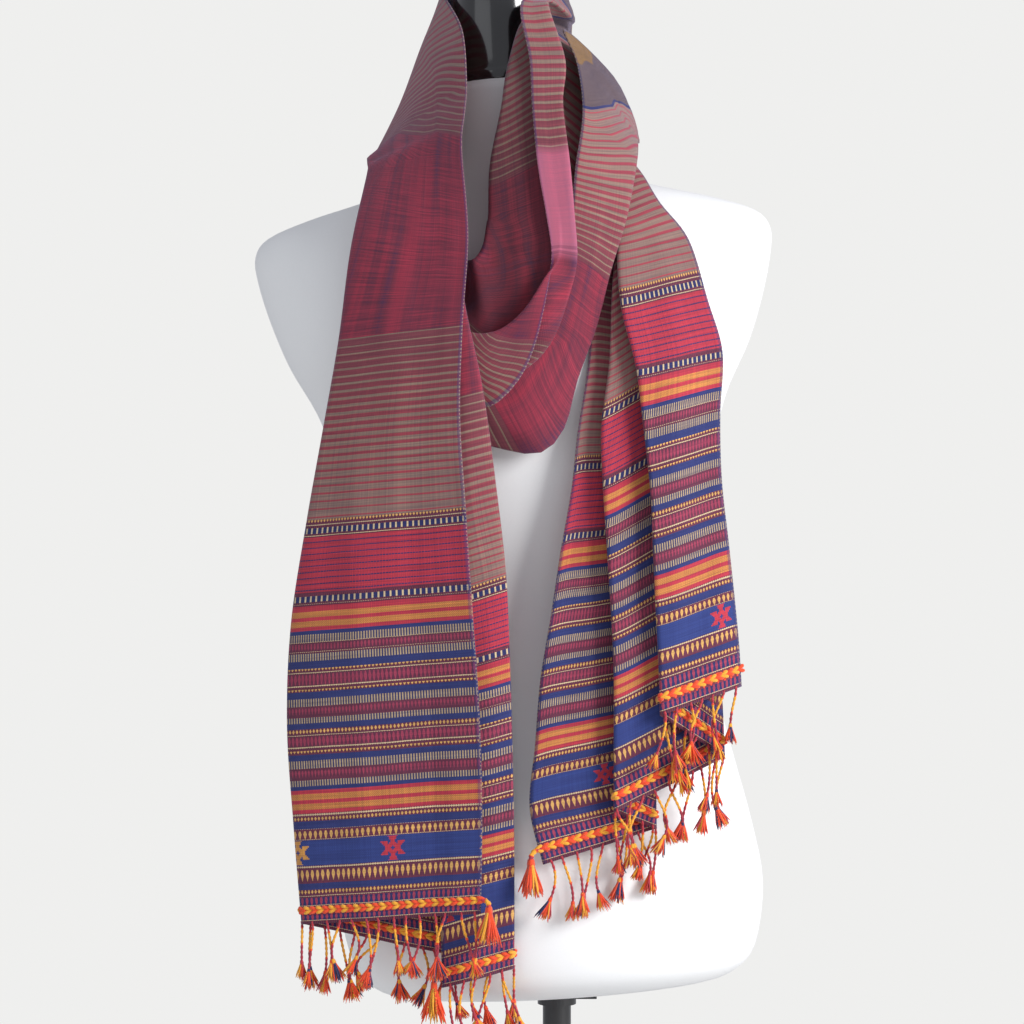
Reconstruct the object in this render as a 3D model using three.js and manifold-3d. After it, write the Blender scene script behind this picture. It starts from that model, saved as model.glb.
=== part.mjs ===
// A handwoven stole wound once round the neck of a limbless dress form, in millimetres, +Z up.
// Every stretch of the cloth is one strip: rows of rail points along it, a hairpin turn at each
// rail that is a fold, and one wall thickness. x is the viewer's right, y points away from the
// viewer. A row names its six rails: edge and far are the selvedges, soft a slight bend, foldA,
// foldB and foldC the pleats between. Each is [x, front, up], front being how far it stands
// before the form's middle plane. turn is the way the row faces round the neck, bow how far its
// layers swell, and gaps how wide the four inner rails open.
import * as THREE from 'three';
import Module from 'manifold-3d';

const wall = 1.2;
const seam = 0.3;

const form = { lean: 3.4, footX: 0, bottom: 330, sides: 36 };
const stand = { poleRadius: 11, collarRadius: 15, collarTall: 13, knob: 18, baseRadius: 150, baseTall: 12 };
const fringe = { strip: 4, cordRadius: 1.3, tuftRadius: 2.2, tall: 34, tuftTall: 13, pitch: 11 };

// each row: height over the form's bottom, half width, half depth before and behind
const formRows = [
  [0, 118, 70, 72], [5, 138, 86, 88], [24, 156, 103, 104], [72, 165, 110, 112],
  [120, 159, 107, 110], [167, 149, 101, 105], [230, 136, 92, 96], [300, 127, 86, 88],
  [360, 134, 90, 88], [420, 149, 100, 92], [455, 160, 108, 95], [492, 179, 110, 97],
  [528, 192, 104, 96], [560, 200, 92, 90], [580, 201, 81, 80], [594, 190, 70, 68],
  [606, 158, 61, 60], [616, 120, 56, 56], [628, 80, 53, 54], [642, 60, 50, 52],
  [665, 50, 47, 48], [703, 43, 43, 43],
];
const neckRows = [[0, 42.5], [6, 43], [12, 41], [40, 38], [66, 35.5], [84, 31], [92, 22], [95, 8]];

const leftFall = [
  { turn: 0, bow: 6, gaps: [0, 6, -6, 0], edge: [-58, 134, 403], soft: [-92, 124, 400],
    foldA: [-193, 92, 390], foldB: [-33, 112, 360], foldC: [-60, 121, 353], far: [-87, 117, 346] },
  { turn: 0, bow: 7, gaps: [0, 6, -6, 0], edge: [-57, 137, 476], soft: [-92, 126, 473],
    foldA: [-199, 92, 463], foldB: [-33, 114, 439], foldC: [-60, 123, 433], far: [-88, 120, 423] },
  { turn: 0, bow: 8, gaps: [0, 6, -6, 0], edge: [-59, 140, 552], soft: [-95, 128, 549],
    foldA: [-204, 92, 539], foldB: [-34, 117, 509], foldC: [-62, 126, 502], far: [-88, 123, 493] },
  { turn: 0, bow: 8, gaps: [0, 6, -6, 0], edge: [-64, 143, 627], soft: [-99, 131, 624],
    foldA: [-201, 93, 615], foldB: [-36, 120, 580], foldC: [-65, 129, 572], far: [-90, 126, 563] },
  { turn: 0, bow: 8, gaps: [0, 6, -6, 0], edge: [-69, 148, 702], soft: [-99, 138, 699],
    foldA: [-189, 95, 692], foldB: [-39, 126, 652], foldC: [-70, 134, 642], far: [-93, 129, 634] },
  { turn: 0, bow: 8, gaps: [0, 5, -5, 0], edge: [-73, 157, 770], soft: [-99, 146, 768],
    foldA: [-176, 104, 762], foldB: [-46, 138, 715], foldC: [-77, 143, 706], far: [-99, 136, 700] },
  { turn: 2, bow: 8, gaps: [0, 5, -5, 0], edge: [-71, 161, 835], soft: [-95, 151, 833],
    foldA: [-164, 113, 827], foldB: [-56, 149, 788], foldC: [-80, 150, 782], far: [-100, 143, 778] },
  { turn: 6, bow: 8, gaps: [0, 5, -5, 0], edge: [-67, 159, 901], soft: [-89, 148, 899],
    foldA: [-155, 113, 894], foldB: [-71, 143, 860], foldC: [-86, 146, 857], far: [-101, 144, 854] },
  { turn: 14, bow: 6, gaps: [0, 5, -4, 0], edge: [-72, 134, 967], soft: [-92, 118, 966],
    foldA: [-141, 79, 964], foldB: [-80, 113, 931], foldC: [-91, 116, 925], far: [-104, 114, 921] },
  { turn: 23, bow: 2, gaps: [0, 5, -3, 0], edge: [-70, 116, 996], soft: [-92, 101, 988],
    foldA: [-143, 65, 968], foldB: [-81, 104, 960], foldC: [-79, 108, 962], far: [-77, 113, 964] },
  { turn: 32, bow: -1, gaps: [0, 5, -3, 0], edge: [-69, 94, 1021], soft: [-92, 80, 1006],
    foldA: [-145, 47, 969], foldB: [-84, 90, 987], foldC: [-81, 94, 993], far: [-78, 97, 998] },
];
const outerTurn = [
  { turn: 58, bow: -4, gaps: [0, 5, 0, 0], edge: [-73, 60, 1066], soft: [-95, 48, 1036],
    foldA: [-145, 22, 966], foldB: [-96, 39, 1034], foldC: [-94, 37, 1038], far: [-92, 36, 1042] },
  { turn: 90, bow: -4, gaps: [0, 5, 0, 0], edge: [-88, 0, 1103], soft: [-105, -1, 1062],
    foldA: [-144, -4, 968], foldB: [-113, 0, 1026], foldC: [-110, 0, 1031], far: [-107, 0, 1036] },
  { turn: 112, bow: -5, gaps: [0, 4, 0, 0], edge: [-86, -17, 1113], soft: [-100, -23, 1074],
    foldA: [-134, -37, 984], foldB: [-123, -32, 994], foldC: [-118, -30, 1001], far: [-113, -28, 1008] },
  { turn: 128, bow: -4, gaps: [0, 2, 0, 0], edge: [-79, -28, 1118], soft: [-89, -36, 1088],
    foldA: [-111, -53, 1018], foldB: [-105, -49, 1010], foldC: [-104, -48, 1000], far: [-106, -49, 990] },
  { turn: 145, bow: -2, gaps: [0, 0, 0, 0], edge: [-70, -39, 1122], soft: [-74, -44, 1105],
    foldA: [-83, -57, 1064], foldB: [-87, -62, 1040], foldC: [-93, -72, 1010], far: [-99, -80, 986] },
  { turn: 180, bow: 0, gaps: [0, 0, 0, 0], edge: [-43, -47, 1126], soft: [-43, -52, 1113],
    foldA: [-43, -64, 1084], foldB: [-43, -66, 1056], foldC: [-43, -84, 1022], far: [-43, -96, 992] },
  { turn: 215, bow: 0, gaps: [0, 0, 0, 0], edge: [-16, -39, 1125], soft: [-13, -43, 1113],
    foldA: [-6, -52, 1084], foldB: [-6, -52, 1060], foldC: [7, -72, 1016], far: [14, -82, 990] },
];
const cowlRight = [
  { turn: 240, bow: 10, gaps: [0, 0, 0, 0], edge: [-3, -23, 1120], soft: [1, -25, 1109],
    foldA: [11, -31, 1082], foldB: [9, -30, 1066], foldC: [38, -47, 1006], far: [46, -52, 990] },
  { turn: 257, bow: 20, gaps: [0, 1, 1, -1], edge: [2, -10, 1115], soft: [7, -11, 1105],
    foldA: [18, -14, 1081], foldB: [11, -12, 1070], foldC: [56, -23, 992], far: [70, -26, 994] },
  { turn: 272, bow: 25, gaps: [0, 2, 2, -3], edge: [3, 2, 1110], soft: [8, 2, 1101],
    foldA: [21, 3, 1080], foldB: [8, 1, 1073], foldC: [63, 2, 986], far: [65, 6, 1006] },
  { turn: 298, bow: 25, gaps: [0, 4, 3, -4], edge: [0, 23, 1100], soft: [5, 25, 1093],
    foldA: [16, 29, 1080], foldB: [3, 17, 1076], foldC: [60, 29, 986], far: [43, 33, 1034] },
  { turn: 330, bow: 13, gaps: [0, 5, 4, -5], edge: [-28, 60, 1087], soft: [-20, 60, 1086],
    foldA: [-8, 58, 1087], foldB: [-24, 48, 1078], foldC: [61, 40, 984], far: [5, 54, 1067] },
  { turn: 350, bow: 7, gaps: [0, 5, 5, -5], edge: [-22, 86, 1040], soft: [-11, 86, 1040],
    foldA: [5, 84, 1039], foldB: [-38, 72, 1039], foldC: [61, 50, 982], far: [14, 72, 1039] },
  { turn: 360, bow: 4, gaps: [0, 5, 5, -5], edge: [-20, 110, 998], soft: [-9, 110, 1000],
    foldA: [3, 108, 1003], foldB: [-44, 94, 1000], foldC: [60, 76, 966], far: [18, 92, 999] },
  { turn: 360, bow: 3, gaps: [0, 5, 5, -5], edge: [-16, 126, 955], soft: [-4, 126, 955],
    foldA: [8, 124, 957], foldB: [-52, 108, 957], foldC: [55, 96, 937], far: [12, 111, 955] },
  { turn: 360, bow: 3, gaps: [0, 5, 5, -5], edge: [-10, 133, 919], soft: [0, 133, 919],
    foldA: [11, 131, 920], foldB: [-53, 114, 921], foldC: [49, 106, 911], far: [8, 119, 914] },
  { turn: 360, bow: 3, gaps: [1, 5, 5, -5], edge: [-6, 137, 889], soft: [0, 138, 888],
    foldA: [13, 135, 883], foldB: [-54, 116, 914], foldC: [39, 111, 879], far: [1, 123, 867] },
  { turn: 360, bow: 2, gaps: [3, 4, 5, -5], edge: [-9, 141, 862], soft: [-11, 140, 871],
    foldA: [6, 133, 854], foldB: [-55, 118, 907], foldC: [33, 113, 855], far: [-8, 124, 837] },
  { turn: 360, bow: 2, gaps: [4, 4, 5, -5], edge: [-13, 142, 841], soft: [-21, 140, 855],
    foldA: [-3, 133, 829], foldB: [-56, 119, 900], foldC: [26, 114, 830], far: [-17, 124, 819] },
  { turn: 360, bow: 2, gaps: [4, 4, 5, -5], edge: [-20, 142, 816], soft: [-31, 139, 843],
    foldA: [-16, 133, 811], foldB: [-58, 119, 894], foldC: [14, 115, 797], far: [-29, 124, 803] },
  { turn: 360, bow: 2, gaps: [4, 4, 5, -5], edge: [-30, 141, 796], soft: [-43, 138, 834],
    foldA: [-34, 132, 798], foldB: [-61, 120, 889], foldC: [4, 115, 761], far: [-44, 123, 789] },
  { turn: 360, bow: 2, gaps: [4, 4, 5, -5], edge: [-45, 140, 780], soft: [-53, 137, 831],
    foldA: [-48, 131, 790], foldB: [-65, 120, 886], foldC: [-13, 115, 743], far: [-59, 122, 786] },
];
const cowlLeft = [
  { turn: 360, bow: 11, gaps: [4, 4, 5, -4], edge: [-58, 136, 776], soft: [-62, 135, 831],
    foldA: [-62, 129, 789], foldB: [-71, 104, 887], foldC: [-39, 108, 745], far: [-71, 119, 787] },
  { turn: 362, bow: 9, gaps: [4, 4, 5, -4], edge: [-82, 134, 783], soft: [-79, 132, 836],
    foldA: [-81, 126, 798], foldB: [-77, 102, 889], foldC: [-72, 107, 756], far: [-88, 117, 795] },
  { turn: 366, bow: 7, gaps: [4, 4, 5, -4], edge: [-104, 129, 799], soft: [-96, 128, 847],
    foldA: [-100, 124, 815], foldB: [-82, 98, 896], foldC: [-105, 104, 779], far: [-108, 114, 812] },
  { turn: 370, bow: 5, gaps: [4, 4, 5, -4], edge: [-121, 125, 825], soft: [-109, 119, 865],
    foldA: [-117, 116, 839], foldB: [-86, 92, 906], foldC: [-131, 100, 813], far: [-123, 108, 836] },
  { turn: 376, bow: 5, gaps: [4, 4, 5, -4], edge: [-133, 115, 856], soft: [-120, 105, 892],
    foldA: [-129, 105, 868], foldB: [-89, 81, 921], foldC: [-148, 90, 852], far: [-135, 96, 864] },
  { turn: 388, bow: 1, gaps: [3, 3, 5, -4], edge: [-138, 100, 890], soft: [-131, 88, 916],
    foldA: [-133, 89, 901], foldB: [-88, 101, 938], foldC: [-155, 76, 892], far: [-143, 83, 898] },
  { turn: 405, bow: 0, gaps: [3, 3, 5, -3], edge: [-131, 80, 938], soft: [-129, 80, 950],
    foldA: [-128, 77, 936], foldB: [-90, 52, 1014], foldC: [-123, 73, 930], far: [-124, 73, 940] },
  { turn: 418, bow: -1, gaps: [3, 3, 5, -3], edge: [-134, 57, 950], soft: [-133, 56, 955],
    foldA: [-130, 55, 952], foldB: [-96, 34, 1022], foldC: [-125, 51, 944], far: [-126, 52, 948] },
];
const innerTurn = [
  { turn: 432, bow: -1, gaps: [2, 2, 5, -2], edge: [-136, 30, 960], soft: [-134, 30, 964],
    foldA: [-132, 29, 968], foldB: [-97, 18, 1030], foldC: [-127, 27, 961], far: [-129, 28, 957] },
  { turn: 455, bow: -1, gaps: [0, 0, 5, 0], edge: [-136, -8, 964], soft: [-133, -8, 968],
    foldA: [-131, -8, 973], foldB: [-96, -5, 1036], foldC: [-126, -7, 965], far: [-128, -7, 960] },
  { turn: 485, bow: -1, gaps: [0, 0, 5, 0], edge: [-113, -49, 961], soft: [-111, -48, 966],
    foldA: [-109, -46, 970], foldB: [-84, -28, 1038], foldC: [-105, -43, 962], far: [-106, -44, 957] },
  { turn: 515, bow: -1, gaps: [0, 0, 5, 0], edge: [-77, -73, 958], soft: [-76, -71, 963],
    foldA: [-75, -69, 968], foldB: [-63, -44, 1040], foldC: [-73, -64, 959], far: [-73, -65, 954] },
  { turn: 540, bow: -1, gaps: [0, 0, 5, 0], edge: [-43, -79, 957], soft: [-43, -77, 962],
    foldA: [-43, -75, 967], foldB: [-43, -48, 1040], foldC: [-43, -70, 958], far: [-43, -71, 953] },
  { turn: 570, bow: -1, gaps: [0, 0, 5, 0], edge: [-3, -70, 960], soft: [-3, -68, 965],
    foldA: [-4, -67, 969], foldB: [-19, -42, 1039], foldC: [-7, -62, 961], far: [-7, -63, 956] },
  { turn: 600, bow: -1, gaps: [0, 0, 5, 0], edge: [33, -44, 966], soft: [31, -43, 970],
    foldA: [29, -42, 974], foldB: [0, -25, 1036], foldC: [25, -39, 966], far: [26, -40, 961] },
  { turn: 625, bow: -1, gaps: [0, 0, 5, 0], edge: [51, -8, 969], soft: [48, -8, 973],
    foldA: [46, -8, 977], foldB: [10, -5, 1032], foldC: [41, -7, 968], far: [43, -7, 964] },
];
const rightFall = [
  { turn: 648, bow: -1, gaps: [0, 0, 5, 0], edge: [47, 29, 964], soft: [47, 30, 967],
    foldA: [42, 27, 971], foldB: [11, 18, 1024], foldC: [38, 26, 963], far: [40, 27, 960] },
  { turn: 676, bow: 0, gaps: [3, 3, 3, 2], edge: [55, 52, 966], soft: [40, 60, 982],
    foldA: [47, 52, 962], foldB: [8, 49, 1004], foldC: [33, 51, 957], far: [30, 59, 951] },
  { turn: 700, bow: 0, gaps: [3, 3, 3, 3], edge: [64, 66, 955], soft: [40, 67, 969],
    foldA: [59, 63, 953], foldB: [36, 68, 960], foldC: [44, 76, 931], far: [22, 92, 906] },
  { turn: 712, bow: 1, gaps: [3, 3, 3, 3], edge: [77, 77, 932], soft: [45, 87, 930],
    foldA: [70, 82, 917], foldB: [42, 90, 914], foldC: [49, 94, 889], far: [25, 106, 865] },
  { turn: 718, bow: 2, gaps: [4, 4, 4, 4], edge: [98, 84, 904], soft: [43, 105, 891],
    foldA: [87, 91, 876], foldB: [44, 107, 859], foldC: [53, 103, 838], far: [22, 110, 812] },
  { turn: 720, bow: 3, gaps: [5, 5, 5, 5], edge: [111, 105, 857], soft: [46, 124, 848],
    foldA: [98, 100, 835], foldB: [48, 117, 812], foldC: [57, 106, 794], far: [14, 116, 760] },
  { turn: 720, bow: 4, gaps: [6, 6, 6, 6], edge: [122, 106, 818], soft: [56, 126, 808],
    foldA: [104, 101, 794], foldB: [53, 118, 767], foldC: [62, 106, 751], far: [9, 117, 715] },
  { turn: 720, bow: 5, gaps: [6, 6, 6, 6], edge: [120, 109, 771], soft: [62, 128, 761],
    foldA: [108, 103, 747], foldB: [55, 119, 723], foldC: [65, 106, 708], far: [1, 118, 669] },
  { turn: 720, bow: 6, gaps: [6, 6, 6, 6], edge: [121, 111, 723], soft: [67, 130, 714],
    foldA: [111, 105, 699], foldB: [59, 120, 675], foldC: [69, 106, 659], far: [-6, 119, 623] },
  { turn: 720, bow: 6, gaps: [6, 6, 6, 6], edge: [126, 111, 677], soft: [69, 131, 667],
    foldA: [114, 105, 652], foldB: [63, 121, 626], foldC: [73, 106, 611], far: [-14, 120, 575] },
  { turn: 720, bow: 6, gaps: [6, 6, 6, 6], edge: [131, 110, 631], soft: [71, 131, 622],
    foldA: [119, 105, 605], foldB: [66, 121, 580], foldC: [78, 106, 566], far: [-18, 121, 526] },
  { turn: 720, bow: 6, gaps: [6, 6, 6, 6], edge: [134, 109, 600], soft: [73, 131, 585],
    foldA: [122, 104, 559], foldB: [67, 121, 536], foldC: [84, 106, 523], far: [-22, 122, 480] },
  { turn: 720, bow: 6, gaps: [6, 6, 6, 6], edge: [136, 108, 569], soft: [74, 131, 549],
    foldA: [124, 104, 516], foldB: [68, 121, 492], foldC: [88, 106, 480], far: [-12, 123, 438] },
];

const vec = (p) => new THREE.Vector3(p[0], -p[1], p[2]);
const mix = (a, b, t) => a + (b - a) * t;

// a curve through four numbers, between the middle two
function through([a, b, c, d], t) {
  return 0.5 * (2 * b + (c - a) * t + (2 * a - 5 * b + 4 * c - d) * t * t
    + (3 * b - a - 3 * c + d) * t * t * t);
}

const stretches = [
  ['left_fall', leftFall, 1, '#8c3a44'],
  ['neck_turn_outer', outerTurn, 2, '#7a4a4c'],
  ['cowl_right', cowlRight, 2, '#a34357'],
  ['cowl_left', cowlLeft, 2, '#8d5a50'],
  ['neck_turn_inner', innerTurn, 2, '#86604f'],
  ['right_fall', rightFall, 1, '#7d3a4a'],
];
const stations = stretches.flatMap(([, rows]) => rows);
const rails = ['edge', 'soft', 'foldA', 'foldB', 'foldC', 'far'];

// one row of rail points at place t, counted in stations from the left hem
function rowAt(t) {
  const last = stations.length - 1;
  const i = Math.min(Math.floor(t), last - 1);
  const f = t - i;
  const s = [i - 1, i, i + 1, i + 2].map((k) => stations[Math.min(Math.max(k, 0), last)]);
  const number = (read) => through(s.map(read), f);
  return {
    turn: mix(s[1].turn, s[2].turn, f),
    bow: mix(s[1].bow, s[2].bow, f),
    gaps: s[1].gaps.map((g, k) => mix(g, s[2].gaps[k], f)),
    at: rails.map((k) => new THREE.Vector3(
      number((q) => q[k][0]), -number((q) => q[k][1]), number((q) => q[k][2]))),
  };
}

// the section's control points: each layer runs from one rail to the next, bowed outwards
function layersOf({ turn, bow, gaps, at }) {
  const a = THREE.MathUtils.degToRad(turn);
  const out = new THREE.Vector3(-Math.sin(a), -Math.cos(a), 0);
  const points = [];
  for (let k = 0; k + 1 < at.length; k += 1) {
    const from = at[k].clone();
    const to = at[k + 1].clone();
    if (k > 0) from.addScaledVector(out, -gaps[k - 1] / 2);
    if (k < gaps.length) to.addScaledVector(out, gaps[k] / 2);
    const long = from.distanceTo(to);
    const near = Math.min(5, long / 4) / Math.max(long, 1e-6);
    const rise = bow * Math.min(1, (long / 120) ** 2);
    [[0, 0], [near, 0], [0.5, 1], [1 - near, 0], [1, 0]].forEach(([f, b]) => {
      points.push(from.clone().lerp(to, f).addScaledVector(out, rise * b));
    });
  }
  return points;
}

// rounds the control points into the section's line
function sectionOf(t) {
  const c = layersOf(rowAt(t));
  const line = [c[0]];
  for (let i = 0; i + 2 < c.length; i += 1) {
    line.push(c[i].clone().multiplyScalar(0.125).addScaledVector(c[i + 1], 0.75)
      .addScaledVector(c[i + 2], 0.125));
  }
  line.push(c[c.length - 1]);
  return line;
}

// the rows of one stretch and their normals; its ends stop short of its neighbours by half a seam
function gridOf(first, count, perSpan) {
  const last = stations.length - 1;
  const end = Math.min(first + count, last);
  const places = [];
  for (let i = first * perSpan; i <= end * perSpan; i += 1) places.push(i / perSpan);
  const step = 0.5 / perSpan;
  const around = (t, by) => sectionOf(Math.min(Math.max(t + by, 0), last));
  const normals = places.map((t) => normalsOf(around(t, -step), sectionOf(t), around(t, step)));
  const rows = places.map((t) => sectionOf(t));
  if (first > 0) trimEnd(rows, 0, 1);
  if (end < last) trimEnd(rows, rows.length - 1, rows.length - 2);
  return { rows, normals };
}

function trimEnd(rows, edge, next) {
  rows[edge] = rows[edge].map((p, k) => {
    const over = alongRow(rows[edge], k);
    const back = rows[next][k].clone().sub(p);
    return p.clone().addScaledVector(back.addScaledVector(over, -back.dot(over)).normalize(), seam * 0.8);
  });
}

const alongRow = (row, j) => (
  row[Math.min(j + 1, row.length - 1)].clone().sub(row[Math.max(j - 1, 0)]).normalize());

function normalsOf(before, row, after) {
  return row.map((p, j) => {
    const up = after[j].clone().sub(before[j]);
    return up.cross(alongRow(row, j)).normalize();
  });
}

function meshOf(points, faces) {
  const g = new THREE.BufferGeometry();
  g.setAttribute('position', new THREE.Float32BufferAttribute(points.flatMap((p) => p.toArray()), 3));
  g.setIndex(faces);
  return g;
}

// a closed wall round a grid of points
function wallOf({ rows, normals }, thick) {
  const m = rows.length;
  const n = rows[0].length;
  const side = (s) => rows.flatMap((row, i) => row.map((p, j) => (
    p.clone().addScaledVector(normals[i][j], s * thick / 2))));
  const points = [...side(1), ...side(-1)];
  const top = (i, j) => i * n + j;
  const low = (i, j) => m * n + i * n + j;
  const faces = [];
  const quad = (a, b, c, d) => faces.push(a, b, c, a, c, d);
  for (let i = 0; i + 1 < m; i += 1) {
    for (let j = 0; j + 1 < n; j += 1) {
      quad(top(i, j), top(i + 1, j), top(i + 1, j + 1), top(i, j + 1));
      quad(low(i, j), low(i, j + 1), low(i + 1, j + 1), low(i + 1, j));
    }
    quad(top(i, 0), low(i, 0), low(i + 1, 0), top(i + 1, 0));
    quad(top(i, n - 1), top(i + 1, n - 1), low(i + 1, n - 1), low(i, n - 1));
  }
  for (let j = 0; j + 1 < n; j += 1) {
    quad(top(0, j), top(0, j + 1), low(0, j + 1), low(0, j));
    quad(top(m - 1, j), low(m - 1, j), low(m - 1, j + 1), top(m - 1, j + 1));
  }
  return meshOf(points, faces);
}

// a closed skin over rings of points, all with the same count
function skinOf(rings) {
  const n = rings[0].length;
  const points = rings.flat();
  const faces = [];
  for (let i = 0; i + 1 < rings.length; i += 1) {
    for (let j = 0; j < n; j += 1) {
      const a = i * n + j;
      const b = i * n + ((j + 1) % n);
      faces.push(a, b, b + n, a, b + n, a + n);
    }
  }
  const first = points.length;
  const centre = (ring) => ring.reduce((s, p) => s.add(p), new THREE.Vector3()).divideScalar(n);
  points.push(centre(rings[0]), centre(rings[rings.length - 1]));
  for (let j = 0; j < n; j += 1) {
    faces.push(first, (j + 1) % n, j);
    const a = (rings.length - 1) * n + j;
    faces.push(first + 1, a, (rings.length - 1) * n + ((j + 1) % n));
  }
  return meshOf(points, faces);
}

function oval(z, w, f, b, x = 0) {
  return Array.from({ length: form.sides }, (_, k) => {
    const a = (2 * Math.PI * k) / form.sides;
    return new THREE.Vector3(x + w * Math.cos(a), Math.sin(a) * (Math.sin(a) < 0 ? f : b), z);
  });
}

// turns the form's own points by its lean about the middle of its bottom
function leaned(points) {
  const a = THREE.MathUtils.degToRad(-form.lean);
  const foot = new THREE.Vector3(form.footX, 0, form.bottom);
  return points.map((p) => p.clone().applyAxisAngle(new THREE.Vector3(0, 1, 0), a).add(foot));
}

const formGeometry = () => skinOf(formRows.map((r) => leaned(oval(...r))));

function neckGeometry() {
  const start = formRows[formRows.length - 1][0] + seam;
  return skinOf(neckRows.map(([h, r]) => leaned(oval(start + h, r, r, r))));
}

function drum(radius, low, high) {
  return skinOf([low, high].map((z) => oval(z, radius, radius, radius, form.footX)));
}

const wasm = await Module();
wasm.setup();

const solidOf = (g) => new wasm.Manifold(new wasm.Mesh({
  numProp: 3,
  vertProperties: new Float32Array(g.getAttribute('position').array),
  triVerts: new Uint32Array(g.index.array),
}));

function geometryOf(solid) {
  const m = solid.getMesh();
  const g = new THREE.BufferGeometry();
  g.setAttribute('position', new THREE.BufferAttribute(new Float32Array(m.vertProperties), 3));
  return g.setIndex(new THREE.BufferAttribute(new Uint32Array(m.triVerts), 1));
}

// a steady rough number from 0 to 1 for strand k
const rough = (k, salt) => Math.abs(Math.sin(k * 12.9898 + salt * 78.233) * 43758.5453) % 1;

function cordOf(root, down, k) {
  const sway = new THREE.Vector3(rough(k, 1) - 0.5, 0.3 * (rough(k, 2) - 0.5), 0).multiplyScalar(5);
  const tall = fringe.tall * (0.9 + 0.2 * rough(k, 3));
  const stops = [[-2, 0, fringe.cordRadius], [tall * 0.5, 0.7, fringe.cordRadius],
    [tall, 1, fringe.cordRadius], [tall + fringe.tuftTall, 1.1, fringe.tuftRadius]];
  return skinOf(stops.map(([d, s, r]) => [0, 1, 2].map((q) => {
    const a = (2 * Math.PI * q) / 3;
    return root.clone().addScaledVector(down, d).addScaledVector(sway, s)
      .add(new THREE.Vector3(r * Math.cos(a), r * Math.sin(a), 0));
  }).reverse()));
}

// a narrow strip past the hem, with cords fused into it
function fringeGeometry(hem, inside, normals) {
  const away = hem.map((p, j) => p.clone().sub(inside[j]).normalize());
  const edge = (by) => hem.map((p, j) => p.clone().addScaledVector(away[j], by));
  const ends = [edge(2 * seam + fringe.strip), edge(2 * seam)];
  let body = solidOf(wallOf({ rows: ends, normals: [normals, normals] }, wall));
  let run = fringe.pitch / 2;
  let k = 0;
  for (let j = 0; j + 1 < hem.length; j += 1) {
    const long = hem[j].distanceTo(hem[j + 1]);
    while (run < long) {
      const root = ends[0][j].clone().lerp(ends[0][j + 1], run / long);
      const down = away[j].clone().add(new THREE.Vector3(0, 0, -3)).normalize();
      body = body.add(solidOf(cordOf(root, down, k)));
      run += fringe.pitch;
      k += 1;
    }
    run -= long;
  }
  return geometryOf(body);
}

const group = new THREE.Group();
function add(name, geometry, color, roughness, metalness = 0) {
  const mesh = new THREE.Mesh(geometry, new THREE.MeshStandardMaterial({ color, roughness, metalness }));
  mesh.name = name;
  group.add(mesh);
}

const collarTop = form.bottom - 1.3;
const collarLow = collarTop - stand.collarTall;
add('base', drum(stand.baseRadius, 0, stand.baseTall), '#161616', 0.35);
add('pole', drum(stand.poleRadius, stand.baseTall + seam, collarLow - seam), '#18181a', 0.3);
add('pole_collar', geometryOf(wasm.Manifold.union([
  solidOf(drum(stand.collarRadius, collarLow, collarTop)),
  wasm.Manifold.cube([stand.knob, 8, 6], false)
    .translate([form.footX + stand.collarRadius - 2, -4, collarLow + 4]),
])), '#141414', 0.3);
add('torso', formGeometry(), '#f2f2f0', 0.6);
add('neck_block', neckGeometry(), '#0c0c0d', 0.15);

const grids = {};
let first = 0;
stretches.forEach(([name, rows, perSpan, color]) => {
  grids[name] = gridOf(first, rows.length, perSpan);
  add(name, wallOf(grids[name], wall), color, 0.8);
  first += rows.length;
});
const { left_fall: onLeft, right_fall: onRight } = grids;
add('left_fringe', fringeGeometry(onLeft.rows[0], onLeft.rows[1], onLeft.normals[0]), '#d8502c', 0.85);
const [inside, hem] = onRight.rows.slice(-2);
const back = (list) => [...list].reverse();
add('right_fringe', fringeGeometry(back(hem), back(inside), back(onRight.normals.at(-1))), '#d8502c', 0.85);

export default group;
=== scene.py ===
import bpy, math
import numpy as np
from functools import partial
from mathutils import Matrix, Vector, noise
from random import Random


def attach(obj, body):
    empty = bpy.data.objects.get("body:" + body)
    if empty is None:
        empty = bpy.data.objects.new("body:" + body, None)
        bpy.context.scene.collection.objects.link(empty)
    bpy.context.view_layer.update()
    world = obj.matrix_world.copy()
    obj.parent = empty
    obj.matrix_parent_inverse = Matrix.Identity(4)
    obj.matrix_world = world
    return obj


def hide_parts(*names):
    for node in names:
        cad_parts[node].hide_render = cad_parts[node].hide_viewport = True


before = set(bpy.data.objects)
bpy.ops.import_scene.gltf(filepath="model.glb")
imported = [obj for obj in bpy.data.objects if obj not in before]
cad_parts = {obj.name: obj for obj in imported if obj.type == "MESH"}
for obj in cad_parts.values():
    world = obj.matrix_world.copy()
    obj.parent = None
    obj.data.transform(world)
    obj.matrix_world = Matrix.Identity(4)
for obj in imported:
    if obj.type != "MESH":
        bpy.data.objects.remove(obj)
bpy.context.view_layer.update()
mm = 0.001

# camera: level, straight ahead
cameraAt = (-35, -2400, 699)
viewAngle = 2 * math.atan(399.4 / 2400)

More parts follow.
